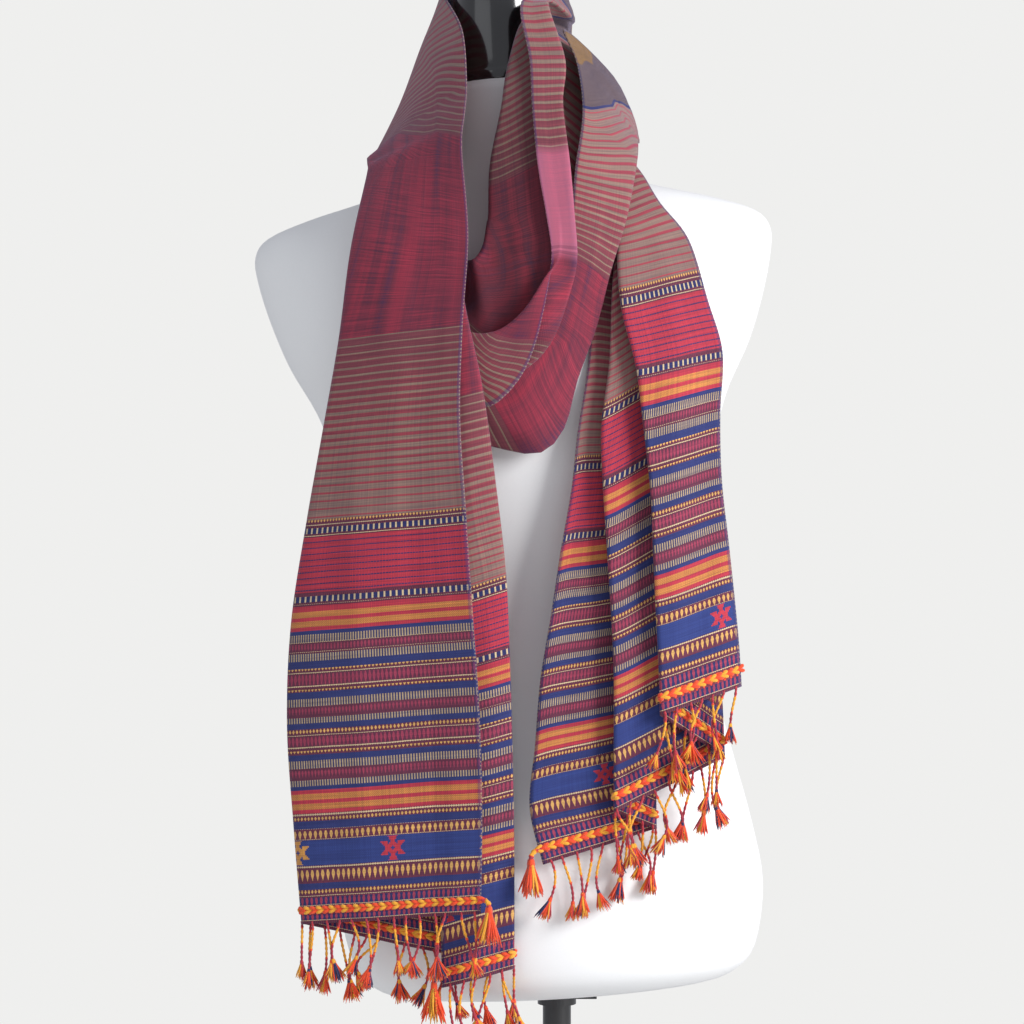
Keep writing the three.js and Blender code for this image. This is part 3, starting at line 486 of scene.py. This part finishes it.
def wovenGroup():
    tree = bpy.data.node_groups.new("woven_stole", "ShaderNodeTree")
    tree.interface.new_socket("Colour", in_out="OUTPUT", socket_type="NodeSocketColor")
    tree.interface.new_socket("Height", in_out="OUTPUT", socket_type="NodeSocketFloat")
    put, calc, mixed, ramp, combined = maker(tree)
    plus, minus, times, over, below, above, size, part, most = (partial(calc, kind) for kind in (
        "ADD", "SUBTRACT", "MULTIPLY", "DIVIDE", "LESS_THAN", "GREATER_THAN", "ABSOLUTE", "FRACT", "MAXIMUM"))

    def split(value):
        node = tree.nodes.new("ShaderNodeSeparateXYZ")
        tree.links.new(value, node.inputs[0])
        return node.outputs

    def grain(alongMm, acrossMm, detail=2.0):
        scaled = put("VectorMath", place, (1 / alongMm, 1 / acrossMm, 1), operation="MULTIPLY")
        return put("TexNoise", scaled, None, 1.0, detail)

    def fade(value, start, end, first, last):
        return put("MapRange", value, start, end, first, last)

    def shaded(colour, by, dark, light):
        shade = ramp(by, [(0.3, dark + (1,)), (0.7, light + (1,))], "LINEAR")
        return mixed(1.0, colour, shade, "MULTIPLY")

    u, v = (times(output, 1000.0) for output in split(put("UVMap", uv_map="cloth"))[:2])
    place = combined(u, v, 0.0)
    wander = times(minus(grain(60, 45), 0.5), 1.2)
    d = plus(calc("MINIMUM", u, minus(cloth["length"], u)), wander)  # from the nearer hem
    streak, warp = grain(0.9, 70, 3.0), grain(220, 0.8, 3.0)

    def groundColour():
        g = ramp(over(d, 1100.0), [(p / 1100, (w, w, w, 1)) for p, w in zones], "LINEAR")
        share = plus(times(g, lines["many"] - lines["few"]), lines["few"])
        share = plus(share, times(minus(streak, 0.5), lines["ragged"]))
        reach = minus(share, part(over(d, lines["pitch"])))
        inRed = fade(reach, -lines["soft"], lines["soft"], 0.12, 0.9)
        pale, red = mixed(g, yarn["olive"], yarn["sand"]), mixed(g, yarn["crimson"], yarn["maroon"])
        patches = plus(times(grain(150, 16), 0.62), times(streak, 0.38))
        shot = ramp(patches, [(0.28, yarn["violet"]), (0.44, yarn["maroon"]), (0.7, yarn["crimson"])],
                    "LINEAR")
        block = ramp(over(d, 1100.0), [(p / 1100, yarn[c]) for p, c in blocks])
        inBlock = times(above(d, blocks[0][0]), below(d, zones[4][0]))
        return mixed(inBlock, mixed(above(g, 0.992), mixed(inRed, pale, red), shot), block)

    def borderColour(y):
        rampFor = partial(bandRamp, calc, mixed, ramp, y)
        base = rampFor(lambda n, a, b: yarn[weaves[n][0]])
        figure = rampFor(lambda n, a, b: yarn[weaves[n][1]])
        rule = split(rampFor(lambda n, a, b: (weaves[n][2] / 10, weaves[n][3], weaves[n][4], 1)))
        place = lambda n, a, b: ((a + b) / 2 / rampUnits, (b - a) * 5 / rampUnits, weaves[n][5], 1)
        middle = split(rampFor(place))
        repeats = part(over(plus(v, times(middle[2], d)), times(rule[0], 10.0)))
        q = times(size(minus(repeats, 0.5)), 2.0)
        w = over(size(minus(y, middle[0])), times(middle[1], 0.1))
        mark = below(plus(q, times(w, rule[1])), rule[2])
        block = times(above(y, redBlock["start"] / rampUnits), below(y, redBlock["end"] / rampUnits))
        row = part(over(minus(times(y, rampUnits), redBlock["first"]), redBlock["pitch"]))
        dots = below(part(over(v, redBlock["dotPitch"])), redBlock["dot"])
        dotted = times(times(below(row, redBlock["line"]), dots), block)
        return mixed(dotted, mixed(mark, base, figure), yarn["navy"]), mark

    # a star on a grid of cells: hollow middle, two caps and two wings; gold and red take turns
    def starred(colour, y):
        at = plus(plus(v, times(above(u, cloth["length"] / 2), stars["rightShift"])), stars["first"])
        sideways = minus(times(part(over(at, stars["pitch"])), stars["pitch"]), stars["pitch"] / 2)
        upward = minus(times(y, rampUnits * unit), stars["middle"] * unit)
        a, b = (size(calc("ROUND", over(way, stars["cell"]))) for way in (sideways, upward))
        body = times(below(plus(a, b), 5.5), above(plus(a, b), 1.5))
        caps = times(below(a, times(minus(b, 3.0), 0.7)), below(b, 8.5))
        wings = times(times(above(b, minus(a, 5.0)), below(b, 4.5)), times(below(a, 9.5), above(a, 3.5)))
        inBand = below(size(minus(y, stars["middle"] / rampUnits)), stars["half"] / rampUnits)
        turn = above(part(over(at, 2 * stars["pitch"])), 0.5)
        star = times(most(most(body, caps), wings), inBand)
        return mixed(star, colour, mixed(turn, yarn["gold"], yarn["red"]))

    # streaks and threads, blue edge threads with pale dots, a painted highlight that makes the lapel pinker
    # and lighter, painted shade that darkens the inside of the cowl
    def finished(colour):
        colour = shaded(colour, streak, (0.74, 0.72, 0.8), (1.2, 1.18, 1.14))
        colour = shaded(colour, warp, (0.76, 0.76, 0.88), (1.12, 1.12, 1.08))
        fromEdge = calc("MINIMUM", v, minus(cloth["width"], v))
        edge = below(plus(fromEdge, times(streak, selvedge["ragged"])), selvedge["wide"])
        colour = mixed(times(edge, selvedge["blue"]), colour, yarn["navy"])
        dots = times(below(fromEdge, 0.7), below(part(over(u, selvedge["dotPitch"])), 0.4))
        colour = mixed(times(dots, selvedge["dots"]), colour, yarn["cream"])
        # painted highlight on the lapel: a pink mix over a stretch of the cloth near its edge
        along, wide = size(minus(u, lapelHighlight["middle"])), lapelHighlight["wide"]
        pink = times(fade(along, lapelHighlight["half"], lapelHighlight["half"] + 8, lapelHighlight["pink"], 0.0),
                     fade(v, wide, wide + 14, 1.0, 0.0))
        colour = mixed(pink, colour, yarn["pink"])
        # painted shade inside the cowl: the colour darkened over a patch across the middle of the cloth
        along, wide = size(minus(u, cowlPaintedShade["middle"])), cowlPaintedShade["wide"]
        paintedShade = times(fade(along, cowlPaintedShade["half"], cowlPaintedShade["half"] + 40, 1.0, 0.0),
                     fade(size(minus(v, cowlPaintedShade["across"])), wide, wide + 14, cowlPaintedShade["darker"], 0.0))
        left = minus(1.0, paintedShade)
        colour = mixed(1.0, colour, combined(left, left, left), "MULTIPLY")
        return mixed(times(below(size(minus(d, 1048.0)), 1.2), 0.35), colour, yarn["dusk"])

    y = over(minus(hemUnits, over(d, unit)), rampUnits)
    inBorder = below(d, zones[0][0] + 0.5)
    border, mark = borderColour(y)
    colour = finished(mixed(inBorder, groundColour(), starred(border, y)))
    weft, threads = (calc("SINE", times(at, 2 * math.pi / pitch)) for at, pitch in (
        (u, yarnPitch["weft"]), (v, yarnPitch["warp"])))
    raised = times(times(mark, inBorder), 0.5)
    height = plus(times(weft, threads), plus(times(streak, 1.2), raised))
    end = tree.nodes.new("NodeGroupOutput")
    tree.links.new(colour, end.inputs[0])
    tree.links.new(height, end.inputs[1])
    return tree


def material(name, **values):
    made = bpy.data.materials.new(name)
    made.use_nodes = True
    shader = made.node_tree.nodes["Principled BSDF"]
    for key, value in values.items():
        shader.inputs[key.replace("_", " ")].default_value = value
    return made, made.node_tree, shader


def bumped(tree, shader, height, strength, distance):
    bump = tree.nodes.new("ShaderNodeBump")
    bump.inputs["Strength"].default_value = strength
    bump.inputs["Distance"].default_value = distance
    tree.links.new(height, bump.inputs["Height"])
    tree.links.new(bump.outputs[0], shader.inputs["Normal"])


def clothMaterial():
    made, tree, shader = material("woven_cloth", Roughness=0.82, Sheen_Weight=0.32,
                                  Sheen_Roughness=0.4, Sheen_Tint=(0.72, 0.68, 1.0, 1))
    group = tree.nodes.new("ShaderNodeGroup")
    group.node_tree = wovenGroup()
    tree.links.new(group.outputs["Colour"], shader.inputs["Base Color"])
    bumped(tree, shader, group.outputs["Height"], 0.35, 0.0004)
    return made


stole.data.materials.append(clothMaterial())
print("weave")
def oval(height, wide, front, back, sides):
    ring = []
    for k in range(sides):
        a = 2 * math.pi * k / sides
        ring.append((wide * math.cos(a), math.sin(a) * (front if math.sin(a) < 0 else back), height))
    return ring


def leaned(ring):
    turn = Matrix.Rotation(math.radians(-form["lean"]), 3, "Y")
    foot = Vector((0, 0, form["bottom"]))
    return [(turn @ Vector(p) + foot) * mm for p in ring]


# a closed skin over rings of points, all with the same count
def skin(name, rings):
    points = [p for ring in rings for p in ring]
    return meshFrom(name, points, tubeFaces(0, len(rings), len(rings[0])))


# rows between the given ones, on a smooth curve through them
def finer(rows, count):
    rows = np.array(rows, float)
    return [between(rows, i, n / count) for i in range(len(rows) - 1) for n in range(count)] + [rows[-1]]


torso = skin("torso_form", [leaned(oval(*r, form["sides"])) for r in finer(formRows, 4)])
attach(torso, "root")
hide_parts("torso")

neckBlock = skin("neck_form", [leaned(oval(form["neckStart"] + h, r, r, r, form["sides"]))
                               for h, r in finer(neckRows, 4)])
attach(neckBlock, "root")
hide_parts("neck_block")


def shellMaterial(name, colour, rough, coat, grainSize, depth):
    made, tree, shader = material(name, Roughness=rough, Coat_Weight=coat, Coat_Roughness=0.08)
    put, calc, mixed, ramp, combined = maker(tree)
    place = tree.nodes.new("ShaderNodeTexCoord").outputs["Object"]
    fine = put("TexNoise", place, None, 1 / grainSize, 4.0)
    broad = put("TexNoise", place, None, 9.0, 2.0)
    dark = tuple(c * 0.93 for c in colour[:3]) + (1,)
    tree.links.new(mixed(calc("MULTIPLY", broad, fine), colour, dark), shader.inputs["Base Color"])
    bumped(tree, shader, fine, 0.15, depth)
    return made


cover = shellMaterial("form_cover", (0.86, 0.87, 0.87, 1), 0.55, 0.0, 0.0016, 0.0002)
gloss = shellMaterial("neck_gloss", (0.006, 0.006, 0.007, 1), 0.18, 0.8, 0.004, 0.00005)
torso.data.materials.append(cover)
neckBlock.data.materials.append(gloss)
standMaterial = shellMaterial("stand_paint", (0.012, 0.012, 0.014, 1), 0.32, 0.3, 0.003, 0.0001)
for name in ("base", "pole", "pole_collar"):
    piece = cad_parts[name]
    piece.data.materials.clear()
    piece.data.materials.append(standMaterial)
print("form and stand")


# fringe: wrapped cords along their own paths, with a tuft of loose yarn at each end
fringe = {"pitch": 10.3, "long": 32, "longSpread": 5, "sway": 6, "joined": 0.3, "radius": 1.05,
          "turns": 130, "strands": 42, "tuftLong": 13, "tuftWide": 5.2, "inside": 2,
          "uneven": 0.18, "rootPull": 9, "tipPull": 13, "bend": 7, "steps": 12}
chain = {"hem": 15.2, "pitch": 5.0, "long": 8.0, "wide": 3.1, "high": 2.3, "angle": 17}
tassel = {"radius": 1.9, "long": 9, "scale": 2.0, "start": 2, "out": 6, "pull": 9, "tipPull": 6, "steps": 10}


def startTree(name, inputs):
    tree = bpy.data.node_groups.new(name, "GeometryNodeTree")

    def put(kind, wires={}, out=0, **settings):
        return nodeIn(tree, "GeometryNode", kind, wires.items(), settings)[out]

    tree.interface.new_socket("Geometry", in_out="INPUT", socket_type="NodeSocketGeometry")
    for label, kind in inputs:
        tree.interface.new_socket(label, in_out="INPUT", socket_type="NodeSocket" + kind)
    tree.interface.new_socket("Geometry", in_out="OUTPUT", socket_type="NodeSocketGeometry")
    return tree, put, tree.nodes.new("NodeGroupInput").outputs


def endTree(tree, geometry):
    tree.links.new(geometry, tree.nodes.new("NodeGroupOutput").inputs[0])


def joined(tree, parts):
    node = tree.nodes.new("GeometryNodeJoinGeometry")
    for part in parts:
        tree.links.new(part, node.inputs[0])
    return node.outputs[0]


def named(put, name, kind):
    return put("InputNamedAttribute", {"Name": name}, data_type=kind)


def chance(put, low, high, seed):
    return put("FunctionNodeRandomValue", {2: low, 3: high, 8: seed}, 1)


# instances stood on their points, their Z along the attribute "aim" and turned at random
def tuftTree():
    tree, put, given = startTree("tufted_cords", [
        ("Radius", "Float"), ("Turns", "Float"), ("Tuft A", "Object"), ("Tuft B", "Object"),
        ("Tuft C", "Object"), ("Scale", "Float"), ("Cord yarn", "Material"), ("Tuft yarn", "Material")])
    curve = put("MeshToCurve", {0: given[0]})
    length = put("SplineParameter", out=1)
    times = lambda a, b: put("ShaderNodeMath", {0: a, 1: b}, operation="MULTIPLY")
    tilt = times(times(length, given["Turns"]), 2 * math.pi)
    twisted = put("SetCurveTilt", {"Curve": curve, "Tilt": tilt})
    twisted = put("ResampleCurve", {"Curve": twisted, "Length": 0.0011}, mode="LENGTH")
    ring = put("CurvePrimitiveCircle", {"Resolution": 7, "Radius": given["Radius"]})
    ring = put("Transform", {"Geometry": ring, "Scale": (1.16, 0.8, 1)})
    cords = put("CurveToMesh", {"Curve": twisted, "Profile Curve": ring, "Fill Caps": True})
    cords = put("SetMaterial", {"Geometry": cords, "Material": given["Cord yarn"]})

    tip = put("FunctionNodeCompare", {0: named(put, "run", "FLOAT"), 1: 0.999}, operation="GREATER_THAN")
    shapes = joined(tree, [put("ObjectInfo", {"Object": given[label], "As Instance": True}, "Geometry")
                           for label in ("Tuft A", "Tuft B", "Tuft C")])
    stand = put("FunctionNodeAlignRotationToVector", {"Vector": named(put, "aim", "FLOAT_VECTOR")}, axis="Z")
    about = put("FunctionNodeAxisAngleToRotation",
                {"Axis": (0, 0, 1), "Angle": chance(put, 0, 2 * math.pi, 4)})
    stand = put("FunctionNodeRotateRotation", {"Rotation": stand, "Rotate By": about},
                rotation_space="LOCAL")
    size = times(chance(put, 0.8, 1.15, 9), given["Scale"])
    which = put("FunctionNodeRandomValue", {4: 0, 5: 2, 8: 2}, 2, data_type="INT")
    tufts = put("InstanceOnPoints", {
        "Points": given[0], "Selection": tip, "Instance": shapes, "Pick Instance": True,
        "Instance Index": which, "Rotation": stand, "Scale": size})
    tufts = put("StoreNamedAttribute", {
        "Geometry": tufts, "Name": "tuft", "Value": chance(put, 0, 1, 6)}, domain="INSTANCE")
    tufts = put("RealizeInstances", {0: tufts})
    tufts = put("SetMaterial", {"Geometry": tufts, "Material": given["Tuft yarn"]})
    endTree(tree, joined(tree, (cords, tufts)))
    return tree


def chainTree():
    tree, put, given = startTree("linked_chain", [
        ("Pitch", "Float"), ("Link", "Object"), ("Yarn", "Material")])
    curve = put("MeshToCurve", {0: given[0]})
    curve = put("ResampleCurve", {"Curve": curve, "Length": given["Pitch"]}, mode="LENGTH")
    link = put("ObjectInfo", {"Object": given["Link"]}, "Geometry")
    turned = put("FunctionNodeAlignRotationToVector", {"Vector": named(put, "aim", "FLOAT_VECTOR")}, axis="X")
    turned = put("FunctionNodeAlignRotationToVector", {
        "Rotation": turned, "Vector": named(put, "face", "FLOAT_VECTOR")}, axis="Z", pivot_axis="X")
    links = put("InstanceOnPoints", {"Points": curve, "Instance": link, "Rotation": turned})
    links = put("StoreNamedAttribute", {
        "Geometry": links, "Name": "link", "Value": put("InputIndex")}, domain="INSTANCE")
    links = put("RealizeInstances", {0: links})
    links = put("SetMaterial", {"Geometry": links, "Material": given["Yarn"]})
    endTree(tree, links)
    return tree


# the evaluated result of a tree on an object, as a plain mesh in its place
def grown(source, tree, values, name):
    modifier = source.modifiers.new("grow", "NODES")
    modifier.node_group = tree
    sockets = {s.name: s.identifier for s in tree.interface.items_tree if s.in_out == "INPUT"}
    for label, value in values.items():
        modifier[sockets[label]] = value
    graph = bpy.context.evaluated_depsgraph_get()
    mesh = bpy.data.meshes.new_from_object(source.evaluated_get(graph))
    mesh.name = name
    mesh.polygons.foreach_set("use_smooth", [True] * len(mesh.polygons))
    made = placed(name, mesh)
    bpy.data.objects.remove(source)
    return made


def pathMesh(name, paths, **fields):
    edges, first = [], 0
    for path in paths:
        edges += [(first + k, first + k + 1) for k in range(len(path) - 1)]
        first += len(path)
    mesh = bpy.data.meshes.new(name)
    mesh.from_pydata([tuple(p * mm) for path in paths for p in path], edges, [])
    for key, values in fields.items():
        values = np.concatenate(values).astype(np.float32)
        wide = values.ndim == 2
        layer = mesh.attributes.new(key, "FLOAT_VECTOR" if wide else "FLOAT", "POINT")
        layer.data.foreach_set("vector" if wide else "value", values.ravel())
    return placed(name, mesh)


def aimOf(path):
    way = np.gradient(path, axis=0)
    return way / np.linalg.norm(way, axis=1, keepdims=True)


def bezier(a, b, c, d, count):
    t = np.linspace(0, 1, count)[:, None]
    return a * (1 - t) ** 3 + 3 * b * t * (1 - t) ** 2 + 3 * c * t * t * (1 - t) + d * t ** 3


def cordPaths(hem, inside, rng):
    run = np.concatenate(((0,), np.cumsum(np.linalg.norm(np.diff(hem, axis=0), axis=1))))
    at = lambda line, s: np.array([np.interp(s, run, line[:, c]) for c in range(3)])
    count = int(run[-1] / fringe["pitch"])
    uneven = fringe["uneven"]
    places = [(k + 0.5 + rng.uniform(-uneven, uneven)) * run[-1] / count for k in range(count)]
    paths, k = [], 0
    while k < count:
        group = places[k:k + (2 if rng.random() < fringe["joined"] else 1)]
        k += len(group)
        middle = sum(group) / len(group)
        over = at(hem, middle + 1) - at(hem, middle - 1)
        over[2] *= 0.3
        over /= max(np.linalg.norm(over), 1e-6)
        long = fringe["long"] + rng.uniform(-1, 1) * fringe["longSpread"]
        side = over * rng.gauss(0, fringe["sway"])
        end = at(hem, middle) + side + np.array((0, -rng.uniform(0, 2.5), -long))
        for s in group:
            away = at(hem, s) - at(inside, s)
            away /= max(np.linalg.norm(away), 1e-6)
            root = at(hem, s) - away * fringe["inside"]
            bend = over * rng.uniform(-fringe["bend"], fringe["bend"]) + np.array((0, rng.uniform(-2, 1), 0))
            own = end + over * (s - middle) * 0.15
            first = root + away * fringe["rootPull"] + bend * 0.3
            last = own + np.array((0, 0, fringe["tipPull"])) + bend + side * 0.2
            paths.append(bezier(root, first, last, own, fringe["steps"]))
    return paths


def tubes(paths, radii, sides):
    points, faces, owner = [], [], []
    for k, (path, radius) in enumerate(zip(paths, radii)):
        start, aim = len(points), aimOf(path)
        for p, a, r in zip(path, aim, radius):
            u = np.cross(a, (0.3, 0.9, 0.1))
            u /= np.linalg.norm(u)
            w = np.cross(a, u)
            points += [p + (u * math.cos(q) + w * math.sin(q)) * r
                       for q in np.arange(sides) * 2 * math.pi / sides]
        owner += [k] * (len(path) * sides)
        faces += tubeFaces(start, len(path), sides)
    return points, faces, owner


def tuftObject(name, rng):
    knot = np.array([(0, 0, z) for z in (-2.6, -1.6, 0, 1.5, 2.6)], float)
    paths, radii, angles = [knot], [(0.9, 1.5, 1.75, 1.45, 0.8)], [0.3]
    for k in range(fringe["strands"]):
        angle = 2 * math.pi * (k + rng.random()) / fringe["strands"]
        wide = fringe["tuftWide"] * math.sqrt(rng.uniform(0.02, 1))
        long = fringe["tuftLong"] * rng.uniform(0.78, 1.12)
        curl = rng.uniform(-1.2, 1.2)
        rows = []
        for f in (0, 0.2, 0.5, 0.8, 1):
            spread = 0.7 + wide * f ** 1.1
            turn = angle + curl * 0.25 * f * f
            rows.append((spread * math.cos(turn), spread * math.sin(turn), long * f))
        paths.append(np.array(rows))
        radii.append((0.62, 0.55, 0.5, 0.42, 0.16))
        angles.append(angle / (2 * math.pi) + rng.uniform(-0.05, 0.05))
    points, faces, owner = tubes(paths, radii, 4)
    obj = meshFrom(name, np.array(points) * mm, faces)
    layer = obj.data.attributes.new("strand", "FLOAT", "POINT")
    layer.data.foreach_set("value", [angles[k] for k in owner])
    bpy.context.scene.collection.objects.unlink(obj)
    return obj


# one link: two plump loops of yarn that part from a point
def linkObject():
    points, faces, sides = [], [], 8
    for side in (-1, 1):
        start, angle = len(points), math.radians(chain["angle"]) * side
        stops = [(-0.5, 0.05), (-0.4, 0.68), (-0.22, 1), (0, 0.94), (0.25, 0.7), (0.42, 0.42), (0.52, 0.1)]
        for f, wide in stops:
            for q in range(sides):
                a = 2 * math.pi * q / sides
                x = f * chain["long"]
                y = wide * chain["wide"] / 2 * math.cos(a)
                z = (0.45 + 0.55 * wide) * wide * chain["high"] * math.sin(a)
                tip = chain["long"] * 0.52
                turned = (tip + (x - tip) * math.cos(angle) - y * math.sin(angle),
                          (x - tip) * math.sin(angle) + y * math.cos(angle), z)
                points.append(turned)
        faces += tubeFaces(start, len(stops), sides)
    obj = meshFrom("chain_link", np.array(points) * mm, faces)
    bpy.context.scene.collection.objects.unlink(obj)
    return obj


def yarnMaterial(name, attributes, factors, stops):
    made, tree, shader = material(name, Roughness=0.8, Sheen_Weight=0.3, Sheen_Roughness=0.5)
    put, calc, mixed, ramp, combined = maker(tree)
    total = 0.0
    for attribute, factor in zip(attributes, factors):
        value = calc("MULTIPLY", put("Attribute", attribute_name=attribute, out=2), factor)
        total = calc("ADD", total, value)
    place = put("TexCoord", out=3)
    wobble = put("TexNoise", place, None, 900.0, 2.0)
    value = calc("FRACT", calc("ADD", total, calc("MULTIPLY", calc("SUBTRACT", wobble, 0.5), 0.05)))
    colour = ramp(value, [(p, yarn[c]) for p, c in stops])
    fine = put("TexNoise", place, None, 2600.0, 2.0)
    fibres = ramp(fine, [(0.3, (0.62, 0.58, 0.6, 1)), (0.7, (1.18, 1.15, 1.12, 1))], "LINEAR")
    tree.links.new(mixed(1.0, colour, fibres, "MULTIPLY"), shader.inputs["Base Color"])
    bumped(tree, shader, fine, 0.6, 0.0003)
    return made


# the line on the cloth at a length u from its left hem, with its normals
def lineAt(u):
    along = stoleUv[:, :, 0]
    normals = normalsOf(stoleGrid)
    points, faces = [], []
    for j in range(stoleGrid.shape[1]):
        column = along[:, j]
        points.append([np.interp(u, column, stoleGrid[:, j, c]) for c in range(3)])
        faces.append([np.interp(u, column, normals[:, j, c]) for c in range(3)])
    return np.array(points), np.array(faces)


cordYarn = yarnMaterial("wrapped_cord", ["run", "cord"], [0.86, 0.14], [
    (0, "red"), (0.27, "flame"), (0.31, "sun"), (0.62, "flame"), (0.66, "crimson"), (0.9, "red")])
tuftYarn = yarnMaterial("tuft_yarn", ["strand", "tuft"], [0.9, 0.9], [
    (0, "navy"), (0.13, "flame"), (0.4, "sun"), (0.52, "red"), (0.6, "flame"), (0.74, "sun"), (0.9, "flame")])
tasselYarn = yarnMaterial("tassel_yarn", ["strand", "tuft"], [1.8, 0.9], [
    (0, "flame"), (0.55, "sun"), (0.8, "flame")])
chainYarn = yarnMaterial("chain_yarn", ["link"], [0.5], [(0, "flame"), (0.25, "sun"), (0.75, "flame")])
tufts = [tuftObject("tuft_" + "abc"[k], Random(31 + k)) for k in range(3)]
link = linkObject()
cordTree, linkTree = tuftTree(), chainTree()


def cordsFrom(name, paths, rng, radius, scale, tuft):
    runs = [np.linspace(0, 1, len(p)) for p in paths]
    own = [np.full(len(p), rng.random()) for p in paths]
    source = pathMesh(name + "_paths", paths, run=runs, aim=[aimOf(p) for p in paths], cord=own)
    values = {"Radius": radius * mm, "Turns": fringe["turns"], "Scale": scale, "Cord yarn": cordYarn,
              "Tuft yarn": tuft, "Tuft A": tufts[0], "Tuft B": tufts[1], "Tuft C": tufts[2]}
    return grown(source, cordTree, values, name)


for side, node, hemRow, nextRow, u, way, ends in (
        ("left", "left_fringe", 0, 2, chain["hem"], -1, (0, -1)),
        ("right", "right_fringe", -1, -3, cloth["length"] - chain["hem"], 1, (-1,))):
    rng = Random(7 if side == "left" else 12)
    cords = cordsFrom(side + "_cords", cordPaths(stoleGrid[hemRow], stoleGrid[nextRow], rng), rng,
                      fringe["radius"], 1.0, tuftYarn)
    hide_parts(node)
    line, faceWay = lineAt(u)
    source = pathMesh(side + "_chain_path", [line[::way]], aim=[aimOf(line[::way])], face=[faceWay[::way]])
    links = grown(source, linkTree, {"Pitch": chain["pitch"] * mm, "Link": link, "Yarn": chainYarn},
                  side + "_chain")
    paths = []
    for k in ends:
        out = line[k] - line[1 if k == 0 else -2]
        out /= np.linalg.norm(out)
        start = line[k] - out * tassel["start"]
        end = line[k] + out * tassel["out"] + np.array((0, -2, -tassel["long"]))
        above = end + np.array((0, 0, tassel["tipPull"]))
        paths.append(bezier(start, start + out * tassel["pull"], above, end, tassel["steps"]))
    ties = cordsFrom(side + "_tassels", paths, rng, tassel["radius"], tassel["scale"], tasselYarn)
    for piece in (cords, links, ties):
        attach(piece, "root")
        print(piece.name, len(piece.data.polygons))
for spare in tufts + [link]:
    bpy.data.objects.remove(spare)
print("fringe")
# floor, light, camera
floorMesh = meshFrom("floor", [(-3, -3, -0.001), (3, -3, -0.001), (3, 1.7, -0.001), (-3, 1.7, -0.001)],
                     [(0, 1, 2, 3)])
floorMaterial, _, floorShader = material("floor_pale", Roughness=0.8)
floorShader.inputs["Base Color"].default_value = (0.82, 0.82, 0.8, 1)
floorMesh.data.materials.append(floorMaterial)

studio = {"sky": 0.52, "window": 100, "fill": 7}
world = bpy.data.worlds.new("studio")
bpy.context.scene.world = world
world.use_nodes = True
sky = world.node_tree
dim = sky.nodes["Background"]
dim.inputs[0].default_value, dim.inputs[1].default_value = (0.9, 0.92, 1.0, 1), studio["sky"]
seen = sky.nodes.new("ShaderNodeBackground")
seen.inputs[0].default_value, seen.inputs[1].default_value = (0.9, 0.9, 0.89, 1), 0.96
blend = sky.nodes.new("ShaderNodeMixShader")
sky.links.new(sky.nodes.new("ShaderNodeLightPath").outputs["Is Camera Ray"], blend.inputs[0])
sky.links.new(dim.outputs[0], blend.inputs[1])
sky.links.new(seen.outputs[0], blend.inputs[2])
sky.links.new(blend.outputs[0], sky.nodes["World Output"].inputs[0])


def areaLight(name, place, aim, size, power, colour):
    data = bpy.data.lights.new(name, "AREA")
    data.size, data.energy, data.color = size, power, colour
    lamp = placed(name, data)
    lamp.location = place
    lamp.rotation_mode = "QUATERNION"
    lamp.rotation_quaternion = (Vector(aim) - Vector(place)).to_track_quat("-Z", "Y")


areaLight("window", (2.3, -1.7, 1.7), (0, 0, 0.8), 1.3, studio["window"], (1.0, 0.99, 1.0))
areaLight("fill", (-1.8, -1.9, 1.2), (0, 0, 0.7), 1.8, studio["fill"], (0.95, 0.97, 1.0))

cameraData = bpy.data.cameras.new("camera")
cameraData.sensor_width = 36
cameraData.angle = viewAngle
camera = placed("camera", cameraData)
camera.location = [c * mm for c in cameraAt]
camera.rotation_euler = (math.pi / 2, 0, 0)
bpy.context.scene.camera = camera
bpy.context.scene.view_settings.view_transform = "Standard"
